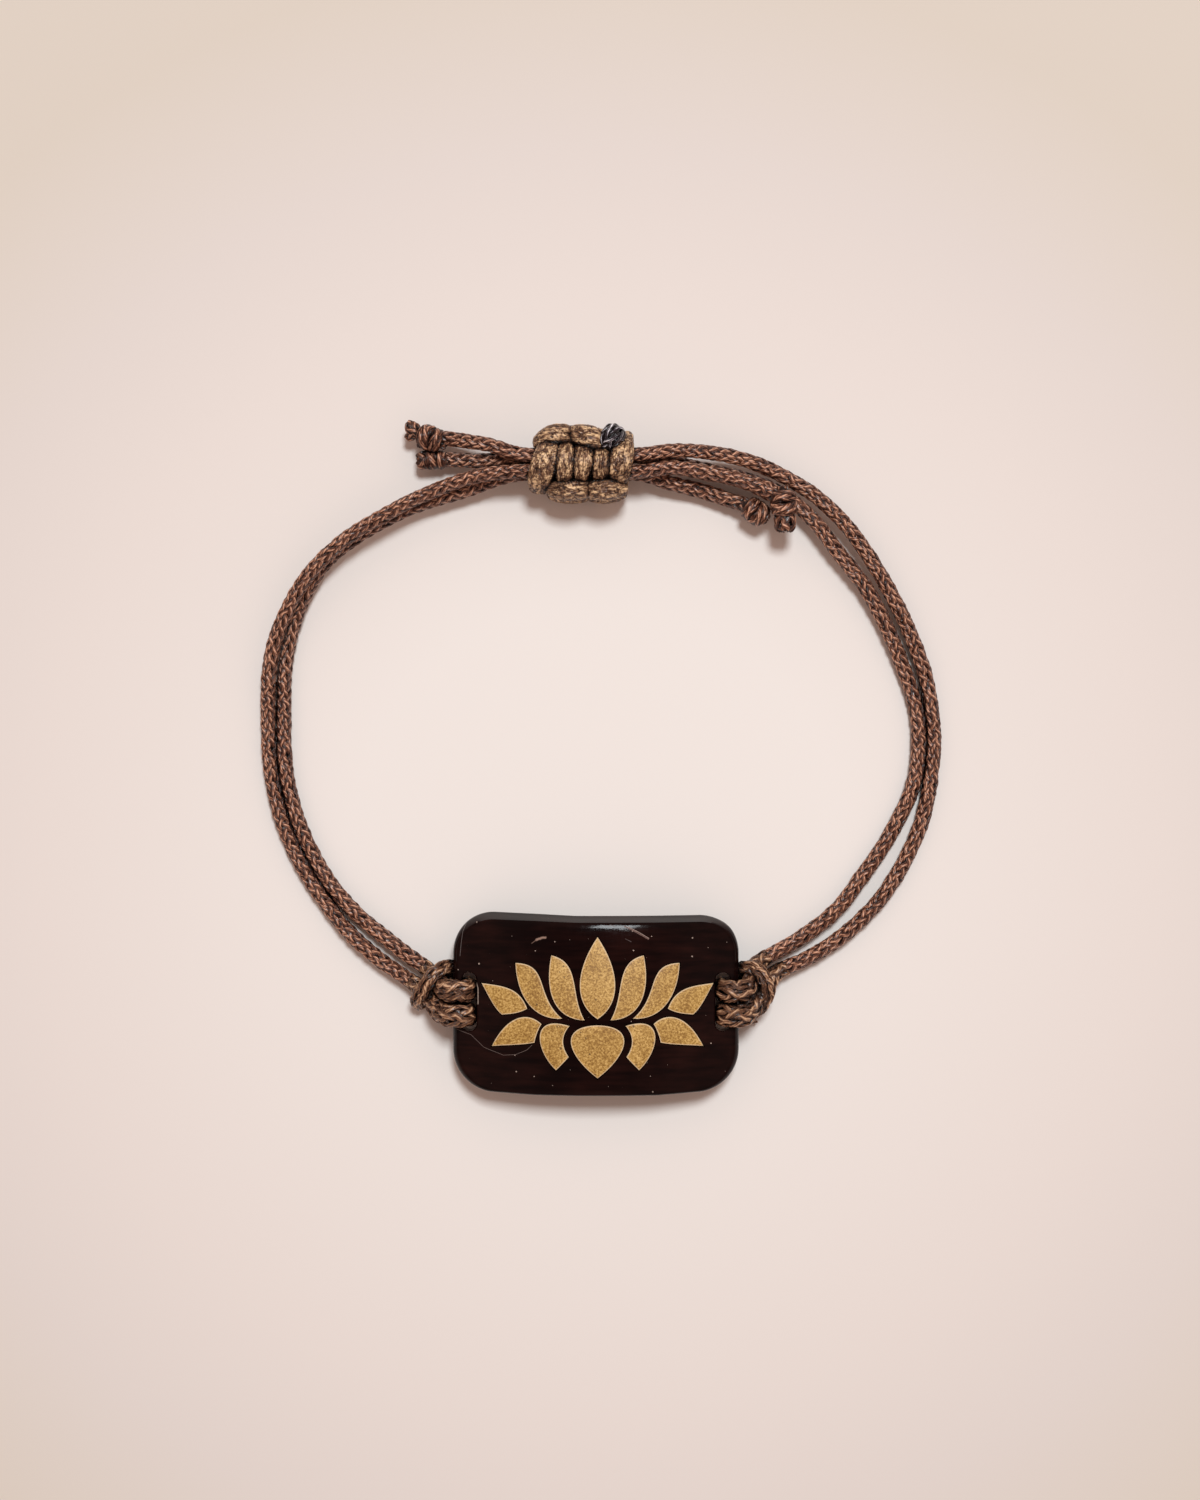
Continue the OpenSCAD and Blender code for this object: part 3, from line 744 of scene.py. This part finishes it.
crinkleTree = makeCrinkleTree()
waxMaterial = makeWaxMaterial("waxed wrap", waxLook)


def makeSlider(s):
    middle = np.array(s["middle"])
    routes = []
    for face in (1, -1):
        turns = [(turn, s["barHeight"], (1, 0, 0)) for turn in s["bars"]]
        turns += [(turn, s["loopHeight"], (0, 1, 0)) for turn in s["loops"]] + [(s["strand"], 1.0, (0, 1, 0))]
        for turn, height, across in turns:
            routes.append({"points": np.array(turn["points"]) * (1, 1, face) + middle, "width": turn["width"],
                           "height": height, "across": across})
    for y in s["packing"]:
        routes.append({"points": [middle + (x, y, 0) for x in (-4.4, -1.5, 1.8, 4.9)], "width": (1.5, 1.5),
                       "height": 2.8, "across": (0, 1, 0)})
    values = {"Coarse": s["coarse"] * mm, "Crease": s["crease"] * mm, "Grain": s["grain"] * mm,
              "Material": waxMaterial}
    return runTree(makeWraps("slider_wraps", routes), crinkleTree, values)


slider = makeSlider(sliderSet)
print("sliding knot wrapped")


# Plate: one bowed sheet of triangles laid over its outline, its slots and the petals' pockets, in mm

plateSet = {
    "middle": -29.9,        # y of its middle
    "size": (35.2, 22.2),
    "thick": 3.0,
    "topZ": 8.32,
    "cornerRadius": 5.2,
    "bowX": 3.2,            # drop of the short ends
    "bowY": 0.8,            # drop of the long edges
    "edge": 1.05,           # rounding round the top
    "nearEdge": 0.5,        # the same along the near long edge
    "underEdge": 0.5,
    "slotAt": 15.55,
    "slotSize": (1.9, 7.2),
    "slotEdge": 0.18,
    "inlay": 0.5,           # thickness of the petals
    "gap": 0.08,            # round and under each petal
    "grid": 0.55,           # mm between points away from any edge
    "jitter": 0.05,         # mm, how far those are shaken off their grid
    "outlineStep": 0.4,     # mm between points on the outline
    "slotStep": 0.22,
    "bevel": (0.78, 2.3, 0.1, 0.6),  # the far edge's steep bevel: width, fall, and drop and width of its soft top
    # how far each long edge is drawn in, at these places along it
    "drawFrom": 8.4,        # mm from the plate's middle line to where that starts
    "drawAt": (-17.6, -12.5, -7.5, -2.5, 7.5, 12.5, 17.6),
    "farDraw": (0.0, -0.2, -0.38, -0.62, -0.62, -0.6, -0.3),
    "nearDraw": (0.05, 0.05, -0.2, -0.25, -0.25, 0.05, 0.1),
}
lotusSet = {
    "scale": 28.4 / 29.2,   # width of the lotus over the width it is drawn at below
    "shift": 0.2,
    "single": ("top", "base"),                              # the petals in the middle, which have no twin
    # base, one edge, the other edge, tip; an edge is two handles, or two, a corner and two more
    "petals": {
        "top": ((0, -1.95), ((3.3, 0.2), (2.6, 4.5)), ((-3.3, 0.2), (-2.6, 4.5)), (0, 8.3)),
        "base": ((0, -2.7), ((5, -2.8), (3.9, -6.4)), ((-5, -2.8), (-3.9, -6.4)), (0, -9.4)),
        "inner": ((-1.6, -2.1), ((-3.5, 1.2), (-2, 5.2)), ((-5.5, -2), (-6.7, 1.6)), (-5.8, 6)),
        "middle": ((-4.4, -1.9), ((-7.9, 1), (-5.9, 5)), ((-8.4, -2.2), (-10.2, 1.4)), (-10.3, 5)),
        "outer": ((-8.8, -0.7), ((-9.8, 2), (-11.8, 2.1)),
                  ((-9.9, -1.35), (-11, -1.4), (-12, -1.5), (-13, -0.8), (-13.9, 1.2)), (-14.6, 2.4)),
        "low_inner": ((-3.5, -2.8), ((-8.6, -1.2), (-7.8, -6)),
                      ((-4.6, -4.1), (-4.5, -5.4), (-3.6, -6.7), (-4.1, -7.3), (-4.7, -7.9)), (-5.2, -8.4)),
        "low_outer": ((-7, -2.6), ((-8.8, -0.9), (-11.4, -1.6)),
                      ((-7.3, -3), (-7.75, -4.1), (-7.9, -4.95), (-9.6, -5.3), (-11.6, -5.3)), (-13.3, -5.5)),
    },
    "rim": 0.16,            # mm, width of the pale line round each petal
    "crown": 0.05,          # mm, rise of a petal's middle over its rim
    "sunk": 0.05,           # mm, depth of a petal's rim below the plate's top
    "bevel": 0.05,          # mm, rounding of a petal's edge
    "grid": 0.4,            # mm between points away from any edge
    "gridSize": (30, 20),   # mm, more than the widest petal reaches
}
lotusPetals = [(name, flip) for name in lotusSet["petals"]
               for flip in ((1,) if name in lotusSet["single"] else (1, -1))]
bowRadius = (plateSet["size"][0] ** 2 / 4 + plateSet["bowX"] ** 2) / (2 * plateSet["bowX"])


def topHeight(p, x, y, drop=0.0):
    # height of the bowed top over (x, y), y from the plate's middle, or of a surface drop below it
    radius = bowRadius - p["bowY"] * (2 * y / p["size"][1]) ** 2 - drop
    return p["topZ"] - bowRadius + np.sqrt(radius ** 2 - x ** 2)


def petalEdge(points, count=34):
    # cubic curves end to end, without the last point
    pieces = (len(points) - 1) // 3
    t = np.linspace(0, 1, count // pieces, endpoint=False)
    return np.vstack([cubic(*points[3 * i:3 * i + 4], t) for i in range(pieces)])


def petalOutline(l, name, flip):
    base, one, other, tip = l["petals"][name]
    loop = np.vstack([petalEdge((base, *one, tip)), petalEdge((tip, *other[::-1], base))]) * l["scale"]
    loop[:, 0] = loop[:, 0] * flip + l["shift"]
    return loop if area(loop) > 0 else loop[::-1]


def area(loop):
    x, y = loop[:, 0], loop[:, 1]
    return 0.5 * float(np.sum(x * np.roll(y, -1) - np.roll(x, -1) * y))


def grown(loop, by):
    # the loop moved outwards, mitred at its points
    ahead = normalised(np.roll(loop, -1, axis=0) - loop)
    normals = np.column_stack([ahead[:, 1], -ahead[:, 0]])
    out = normalised(normals + np.roll(normals, 1, axis=0))
    sharp = np.clip(np.sum(out * normals, axis=1), 0.45, 1)
    return loop + out * (by / sharp)[:, None]


def inside(loop, points):
    x, y = points[:, 0], points[:, 1]
    odd = np.zeros(len(points), bool)
    for (ax, ay), (bx, by) in zip(loop, np.roll(loop, -1, axis=0)):
        crosses = (ay > y) != (by > y)
        with np.errstate(divide="ignore", invalid="ignore"):
            odd ^= crosses & (x < (bx - ax) * (y - ay) / (by - ay) + ax)
    return odd


def distanceTo(loop, points):
    return np.min(np.linalg.norm(points[:, None] - loop[None], axis=2), axis=1)


def roundedLoop(w, h, r, step):
    # rounded rectangle, from its own middle
    points = []
    turns = max(4, int(r * math.pi / 2 / step))
    for sx, sy, start in ((1, 1, 0), (-1, 1, 90), (-1, -1, 180), (1, -1, 270)):
        cx, cy = sx * (w / 2 - r), sy * (h / 2 - r)
        for a in np.radians(start + 90 * np.arange(turns + 1) / turns):
            points.append((cx + r * math.cos(a), cy + r * math.sin(a)))
    loop = []
    for a, b in zip(points, points[1:] + points[:1]):
        a, b = np.array(a), np.array(b)
        n = max(1, int(np.linalg.norm(b - a) / step))
        if np.linalg.norm(b - a) > 1e-6:
            loop += [a + (b - a) * i / n for i in range(n)]
    return np.array(loop)


def distanceIn(w, h, r, x, y):
    # how far a point lies inside a rounded rectangle's edge
    qx, qy = np.abs(x) - (w / 2 - r), np.abs(y) - (h / 2 - r)
    return r - np.hypot(np.maximum(qx, 0), np.maximum(qy, 0)) - np.minimum(np.maximum(qx, qy), 0)


def gridPoints(w, h, step):
    return np.array([(x, y) for x in np.arange(-w / 2, w / 2, step) for y in np.arange(-h / 2, h / 2, step)])


def layTriangles(loops, points, keep):
    # triangles over the loops' edges and the loose points, kept where keep says so
    coords, edges = [], []
    for loop in loops:
        base = len(coords)
        coords += [Vector(p) for p in loop]
        edges += [(base + i, base + (i + 1) % len(loop)) for i in range(len(loop))]
    coords += [Vector(p) for p in points]
    verts, _, faces, *_ = delaunay_2d_cdt(coords, edges, [], 0, 1e-7)
    verts = np.array([(v.x, v.y) for v in verts])
    faces = np.array([f for f in faces if len(f) == 3])
    middles = verts[faces].mean(axis=1)
    return verts, faces[keep(middles)]


def shellPiece(name, sheets, walls, material, rims=None):
    # one closed mesh from sheets of (points, triangles) and walls between two equal loops;
    # rims: each sheet point's distance from the outline, kept for the material
    verts, faces = [], []
    for points, triangles in sheets:
        faces += [tuple(len(verts) + i for i in f) for f in triangles]
        verts += list(points)
    for upper, lower in walls:
        base, n = len(verts), len(upper)
        verts += list(upper) + list(lower)
        faces += [(base + i, base + (i + 1) % n, base + n + (i + 1) % n, base + n + i) for i in range(n)]
    mesh = bpy.data.meshes.new(name)
    mesh.from_pydata((np.array(verts) * mm).tolist(), [], faces)
    if rims is not None:
        keepOnPoints(mesh, "rim", list(rims) * len(sheets) + [0] * (len(verts) - len(rims) * len(sheets)))
    work = bmesh.new()
    work.from_mesh(mesh)
    bmesh.ops.remove_doubles(work, verts=work.verts, dist=2e-7)
    bmesh.ops.recalc_face_normals(work, faces=work.faces)
    work.to_mesh(mesh)
    work.free()
    mesh.polygons.foreach_set("use_smooth", [True] * len(mesh.polygons))
    mesh.set_sharp_from_angle(angle=math.radians(38))
    mesh.materials.append(material)
    return newObject(name, mesh)


def rounding(radius, depth):
    # how far an edge of that radius has dropped at that depth inside it
    away = np.clip(radius - depth, 0, radius)
    return radius - np.sqrt(radius ** 2 - away ** 2)


def farShare(p, x, y):
    # how much of a point's edge faces the far long side, from 0 to 1
    w, h = p["size"]
    qx, qy = np.abs(x) - (w / 2 - p["cornerRadius"]), y - (h / 2 - p["cornerRadius"])
    corner = np.maximum(qy, 0) / np.maximum(np.hypot(np.maximum(qx, 0), np.maximum(qy, 0)), 1e-6)
    return np.where(qy > 0, corner, 0) ** 4


def edgeDrop(p, x, y, depth):
    # a round edge all the way, but a steep bevel along the far side
    width, fall, soft, reach = p["bevel"]
    bevel = soft * np.clip(1 - (depth - width) / reach, 0, 1) ** 2
    bevel = np.where(depth < width, fall * (1 - depth / width) + soft, bevel)
    share = farShare(p, x, y)
    radius = p["edge"] + (p["nearEdge"] - p["edge"]) * farShare(p, x, -y)
    return (1 - share) * rounding(radius, depth) + share * bevel


def drawn(p, points):
    # the long edges pulled out of straight
    x, y = points[:, 0], points[:, 1]
    near = np.clip((np.abs(y) - p["drawFrom"]) / (p["size"][1] / 2 - p["drawFrom"]), 0, 1)
    pull = np.where(y > 0, np.interp(x, p["drawAt"], p["farDraw"]), np.interp(x, p["drawAt"], p["nearDraw"]))
    return np.column_stack([x, y + pull * near ** 2 * (3 - 2 * near)])


def makePlate(p, l, material):
    w, h = p["size"]
    sw, sh = p["slotSize"]
    r, lip = p["cornerRadius"], p["slotEdge"]
    petals = [petalOutline(l, name, flip) for name, flip in lotusPetals]
    slots = [roundedLoop(sw, sh, sw / 2 - 1e-3, p["slotStep"]) + (side * p["slotAt"], 0) for side in (-1, 1)]
    grid = gridPoints(w, h, p["grid"])
    grid += np.random.default_rng(3).uniform(-p["jitter"], p["jitter"], grid.shape)
    edgeDepth = lambda m: distanceIn(w, h, r, m[:, 0], m[:, 1])
    slotDepth = lambda m: -distanceIn(sw, sh, sw / 2, np.abs(m[:, 0]) - p["slotAt"], m[:, 1])
    keep = lambda m: (edgeDepth(m) > 0) & (slotDepth(m) > 0)

    def sheet(edge, steps, pockets):
        loops = []
        for k in range(steps + 1):
            d = edge * (1 - math.cos(math.pi / 2 * k / steps))
            loops.append(roundedLoop(w - 2 * d, h - 2 * d, r - d, p["outlineStep"]))
        for slot in slots:
            loops += [slot, grown(slot, lip * 0.3), grown(slot, lip)]
        for petal in pockets:
            loops += [grown(petal, p["gap"]), grown(petal, p["gap"] + 0.03)]
        free = (edgeDepth(grid) > edge + 0.2) & (slotDepth(grid) > lip + 0.15)
        return layTriangles(loops, grid[free], keep)

    at = np.array((0, p["middle"], 0))
    placed = lambda flat, z: np.column_stack([drawn(p, flat), z]) + at
    top, topFaces = sheet(p["edge"], 7, petals)
    x, y = top[:, 0], top[:, 1]
    z = topHeight(p, x, y) - edgeDrop(p, x, y, np.maximum(edgeDepth(top), 0)) - rounding(lip, slotDepth(top))
    sunk = np.any([inside(grown(petal, p["gap"] + 0.01), top) for petal in petals], axis=0)
    z[sunk] = topHeight(p, x[sunk], y[sunk], p["inlay"] + p["gap"])
    low, lowFaces = sheet(p["underEdge"], 4, [])
    under = topHeight(p, low[:, 0], low[:, 1], p["thick"]) + rounding(p["underEdge"], edgeDepth(low)) \
        + rounding(lip, slotDepth(low))
    walls = []
    outline = roundedLoop(w, h, r, p["outlineStep"])
    outlineDrop = edgeDrop(p, outline[:, 0], outline[:, 1], np.zeros(len(outline)))
    for loop, topDrop, lowDrop in [(outline, outlineDrop, p["underEdge"])] + [(slot, lip, lip) for slot in slots]:
        a, b = loop[:, 0], loop[:, 1]
        walls.append((placed(loop, topHeight(p, a, b) - topDrop),
                      placed(loop, topHeight(p, a, b, p["thick"]) + lowDrop)))
    return shellPiece("plate_bowed", [(placed(top, z), topFaces), (placed(low, under), lowFaces)], walls, material)


def makePetal(p, l, name, flip, material):
    outline = petalOutline(l, name, flip)
    grid = gridPoints(*l["gridSize"], l["grid"])
    bevel = l["bevel"]
    rings = [outline] + [grown(outline, -d) for d in (bevel, l["rim"], l["grid"])]
    points = grid[inside(outline, grid) & (distanceTo(outline, grid) > 0.5)]
    flat, faces = layTriangles(rings, points, lambda m: inside(outline, m))
    x, y = flat[:, 0], flat[:, 1]
    away = distanceTo(outline, flat)
    away[away < 1e-4] = 0
    z = topHeight(p, x, y) - l["sunk"] + l["crown"] * (1 - np.exp(-away / 0.3)) \
        - rounding(bevel, np.minimum(away, bevel))
    at = np.array((0, p["middle"], 0))
    ox, oy = outline[:, 0], outline[:, 1]
    upper = np.column_stack([outline, topHeight(p, ox, oy) - l["sunk"] - bevel]) + at
    lower = np.column_stack([outline, topHeight(p, ox, oy, p["inlay"])]) + at
    sheets = [(np.column_stack([flat, z]) + at, faces),
              (np.column_stack([flat, topHeight(p, x, y, p["inlay"])]) + at, faces)]
    label = name if name in l["single"] else name + ("_left" if flip == 1 else "_right")
    return label, shellPiece("lotus_" + label, sheets, [(upper, lower)], material, away)


plateLook = {
    "dark": linear(15, 6, 6),
    "warm": linear(38, 17, 14),
    "worn": linear(186, 166, 154),
    "stops": ((0.15, "dark"), (0.5, "warm")),
    "roughness": 0.1,
    "gloss": 0.08,
    "relief": (0.35, 0.03),
    "cloudScale": 160.0,    # to the metre; three numbers are along x, y and z
    "grainScale": (120.0, 1400.0, 900.0),
    "hairScale": (2600.0, 500.0, 500.0),
    "rippleScale": (700.0, 2600.0, 700.0),
    "dust": (420.0, 3, 0.045),      # specks to the metre, how rare the large ones are, and their size in cells
    # marks on the top, real wear and one painted highlight line: colour, width in mm, strength, points in mm
    "marksAndPaintedHighlight": (
        (linear(176, 158, 144), 0.12, 0.85, ((-15.7, -26.3), (-14.75, -27.1), (-14.42, -28.2), (-14.42, -30.1))),
        # a painted highlight: a thin grey line of reflection inside the rounding of the left end
        (linear(116, 108, 106), 0.06, 0.8, ((-16.0, -20.4), (-16.36, -21.35), (-16.55, -22.8), (-16.68, -24.3))),
        (linear(150, 122, 108), 0.26, 0.95, ((-7.25, -22.2), (-6.6, -21.95), (-6.15, -21.9))),
        (linear(120, 95, 84), 0.1, 0.8, ((-7.8, -22.6), (-7.25, -22.2))),
        (linear(120, 92, 84), 0.13, 0.8, ((3.5, -20.55), (5.0, -21.3), (6.4, -22.1))),
        (linear(168, 146, 136), 0.07, 0.9, ((3.9, -20.6), (5.2, -21.25), (6.45, -22.0))),
        (linear(110, 100, 98), 0.09, 0.7, ((1.8, -20.35), (2.3, -20.6))),
        (linear(90, 76, 74), 0.09, 0.6, ((3.6, -22.05), (4.3, -22.4))),
        (linear(128, 112, 106), 0.045, 0.8, ((-17.1, -33.3), (-15.3, -33.9), (-13.7, -35.4), (-11.3, -36.3),
                                             (-9.8, -36.2), (-8.4, -35.6), (-7.8, -35.0))),
    ),
}
petalLook = {
    "gold": linear(182, 142, 72),
    "pale": linear(216, 178, 110),
    "brown": linear(136, 96, 38),
    "pits": linear(84, 58, 30),
    "rimColour": linear(224, 196, 156),
    "rimWidth": 0.15,
    "stops": ((0.41, "brown"), (0.52, "gold"), (0.62, "pale")),
    "grainScale": 4200.0,   # to the metre
    "cloudScale": 420.0,
    "pitted": (1500.0, 6, 0.3),     # as the plate's dust
    "gloss": 0.4,
    "relief": (0.35, 0.05),
}


def clamped(value):
    return doMath("MINIMUM", doMath("MAXIMUM", value, 0), 1)


def strokeMask(spot, points, width, ragged):
    # 1 on a stroke through the points, 0 off it
    nearest = None
    for (ax, ay), (bx, by) in zip(points, points[1:]):
        x, y = bx - ax, by - ay
        fromStart = doVector("SUBTRACT", spot, (ax, ay, 0))
        along = clamped(doMath("DIVIDE", doVector("DOT_PRODUCT", fromStart, (x, y, 0), out=1), x * x + y * y))
        foot = through(spot.id_data, "ShaderNodeCombineXYZ", {"X": times(along, x), "Y": times(along, y)})
        away = doVector("LENGTH", doVector("SUBTRACT", fromStart, foot), out=1)
        nearest = away if nearest is None else doMath("MINIMUM", nearest, away)
    edge = doMath("MULTIPLY_ADD", minus(1, doMath("DIVIDE", nearest, width)), 2.0, -0.6)
    return clamped(doMath("MULTIPLY_ADD", ragged, 1.2, edge))


def specks(spot, scale, rarity, size, channel=0, **settings):
    # 1 on scattered dots, most of them tiny
    cells = addNode(spot.id_data, "ShaderNodeTexVoronoi", {"Vector": spot, "Scale": scale}, **settings)
    draw = through(spot.id_data, "ShaderNodeSeparateColor", {"Color": cells.outputs["Color"]}, channel)
    return doMath("LESS_THAN", cells.outputs["Distance"], times(doMath("POWER", draw, rarity), size))


def makePlateMaterial(look):
    material, tree, shader = newMaterial("polished dark wood")
    spot = objectSpot(tree)
    cloud = noise(spot, look["cloudScale"], 3.0)
    grain = noise(doVector("MULTIPLY", spot, look["grainScale"]), 1.0, 4.0)
    colour = tinted(times(cloud, grain), look)
    dust = specks(spot, *look["dust"], voronoi_dimensions="2D")
    colour = mixColours(times(dust, times(cloud, 1.4)), colour, look["worn"])
    flat = doVector("MULTIPLY", spot, (1 / mm, 1 / mm, 0.0))
    ragged = minus(noise(spot, 5200.0), 0.5)
    worn = dust
    # wear marks, and one painted highlight line, mixed into the colour
    for tone, width, strength, points in look["marksAndPaintedHighlight"]:
        mask = times(strokeMask(flat, points, width, ragged), strength)
        colour = mixColours(mask, colour, tone)
        worn = doMath("MAXIMUM", worn, mask)
    hair = noise(doVector("MULTIPLY", spot, look["hairScale"]), 1.0, 3.0)
    rough = doMath("MAXIMUM", doMath("MULTIPLY_ADD", hair, 0.1, look["roughness"] - 0.05), times(worn, 0.6))
    ripple = noise(doVector("MULTIPLY", spot, look["rippleScale"]), 1.0, 3.0)
    dress(shader, look, colour, rough, ripple)
    return material


def makePetalMaterial(look):
    material, tree, shader = newMaterial("gold inlay")
    spot = objectSpot(tree)
    fine = noise(spot, look["grainScale"], 3.0, {"Roughness": 0.75})
    tone = doMath("MULTIPLY_ADD", fine, 0.8, times(noise(spot, look["cloudScale"], 3.0), 0.2))
    colour = tinted(tone, look)
    colour = mixColours(times(specks(spot, *look["pitted"], channel=1), 0.7), colour, look["pits"])
    line = minus(1, doMath("DIVIDE", attribute(tree, "rim"), look["rimWidth"]))
    line = times(doMath("MAXIMUM", line, 0), times(fine, 4.0))
    colour = mixColours(doMath("MINIMUM", line, 0.95), colour, look["rimColour"])
    dress(shader, look, colour, doMath("MULTIPLY_ADD", fine, 0.3, 0.35), fine)
    return material


plateMaterial = makePlateMaterial(plateLook)
petalMaterial = makePetalMaterial(petalLook)
plate = makePlate(plateSet, lotusSet, plateMaterial)
petals = dict(makePetal(plateSet, lotusSet, name, flip, petalMaterial) for name, flip in lotusPetals)
print("plate and lotus laid")


# Dark braided loop at the sliding knot's corner, in mm from its middle

darkLoopSet = {
    "points": [(2.9, 1.6, 1.3), (3.3, 2.4, 2.4), (3.95, 3.1, 2.7), (4.2, 3.25, 1.6), (4.25, 3.2, 0.0),
               (4.2, 3.05, -1.8)],
    "width": (1.7, 2.6, 3.3, 3.4, 3.1, 2.3),
    "height": (1.5, 2.2, 2.8, 3.0, 2.8, 2.1),
}
darkWeave = dict(weave, yarns=10, pitch=9.0, width=0.62, thickness=0.36, wave=0.14, core=1.7, uneven=0.8)
# painted glints: the dark yarns' top tone is near white, so their painted highlight shows as white glints
darkLook = dict(yarnLook, dark=linear(4, 2, 6), brown=linear(14, 8, 19), russet=linear(46, 36, 54),
                tan=linear(255, 250, 255), tone=-0.85, roughness=0.16, gloss=0.7)
darkMaterial = makeYarnMaterial("dark waxed yarn", darkLook)
darkLoop = braid("slider_dark_braid", [shapedRoute(darkLoopSet, sliderSet["middle"])], darkWeave, darkMaterial)
print("dark loop braided")


# Pale floor whose colour paints the lamp's light falling off towards its edges, one soft lamp from the top of the
# view, and dim surroundings

roomSet = {
    "floorHalf": 4.0,
    "floorRoughness": 0.85,
    "gloss": 0.15,          # of the floor, and its relief
    "relief": (0.04, 0.05),
    "paintedFalloffTones": ((0.25, linear(234, 229, 225)), (0.56, linear(227, 219, 214)), (0.71, linear(221, 213, 208)),
                   (0.9, linear(215, 206, 195))),  # painted falloff of light: darker from the middle out, at eighths of a metre
    "lampWay": (0.1, 0.36, 0.93),  # towards the lamp
    "lampAway": 1.5,
    "lampSize": 0.32,
    "lampPower": 16.45,
    "lampTint": (0.93, 1.0, 1.03),
    "skyTint": (1.34, 0.95, 0.8),
    "sky": ((0.0, 0.15), (0.35, 0.3), (0.62, 0.46), (0.86, 0.4), (1.0, 0.05)),  # brightness, from level to overhead
}


def makeFloor(s):
    h = s["floorHalf"]
    mesh = bpy.data.meshes.new("floor")
    mesh.from_pydata([(-h, -h, 0), (h, -h, 0), (h, h, 0), (-h, h, 0)], [], [(0, 1, 2, 3)])
    material, tree, shader = newMaterial("pale paper floor")
    spot = objectSpot(tree)
    # painted falloff of light: the floor's colour darkens with distance from a point a little off its middle
    away = doVector("MULTIPLY", doVector("ADD", spot, (0.0, 0.012, 0.0)), (8.0, 8.0, 0.0))
    colour = colourRamp(doVector("LENGTH", away, out=1), s["paintedFalloffTones"])
    dress(shader, s, colour, s["floorRoughness"], noise(spot, 2400.0))
    mesh.materials.append(material)
    newObject("floor", mesh)


def makeLight(s):
    lamp = bpy.data.lights.new("lamp", "AREA")
    lamp.size, lamp.energy, lamp.color = s["lampSize"], s["lampPower"], s["lampTint"]
    holder = newObject("lamp", lamp)
    holder.location = Vector(s["lampWay"]).normalized() * s["lampAway"]
    holder.rotation_euler = (-holder.location).to_track_quat("-Z", "Y").to_euler()
    world = bpy.data.worlds.new("surroundings")
    world.use_nodes = True
    tree = world.node_tree
    way = through(tree, "ShaderNodeTexCoord", out="Generated")
    height = through(tree, "ShaderNodeSeparateXYZ", {"Vector": way}, "Z")
    glow = colourRamp(height, [(z, tuple(g * t for t in s["skyTint"])) for z, g in s["sky"]])
    tree.links.new(glow, tree.nodes["Background"].inputs["Color"])
    bpy.context.scene.world = world
    bpy.context.scene.view_settings.view_transform = "Standard"


makeFloor(roomSet)
makeLight(roomSet)
print("floor and lamp set")


# What each piece stands for

def settle(piece, slot, *nodes):
    if nodes:
        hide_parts(*nodes)
    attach(piece, "root")


# each strand runs from its hitch through the sliding knot to a stopper at the other side
for key, piece in strands.items():
    settle(piece, "cord", "strand_" + key)
for side, piece in hitches.items():
    settle(piece, "cord", "hitch_" + side)
for name, piece in stoppers.items():
    settle(piece, "cord", "knot_" + name)
settle(tuft, "cord")
settle(slider, "slider_cord", "slider_knot")
settle(darkLoop, "dark_cord", "slider_dark_loop")
settle(plate, "plate", "plate")
for label, piece in petals.items():
    settle(piece, "inlay", "petal_" + label)
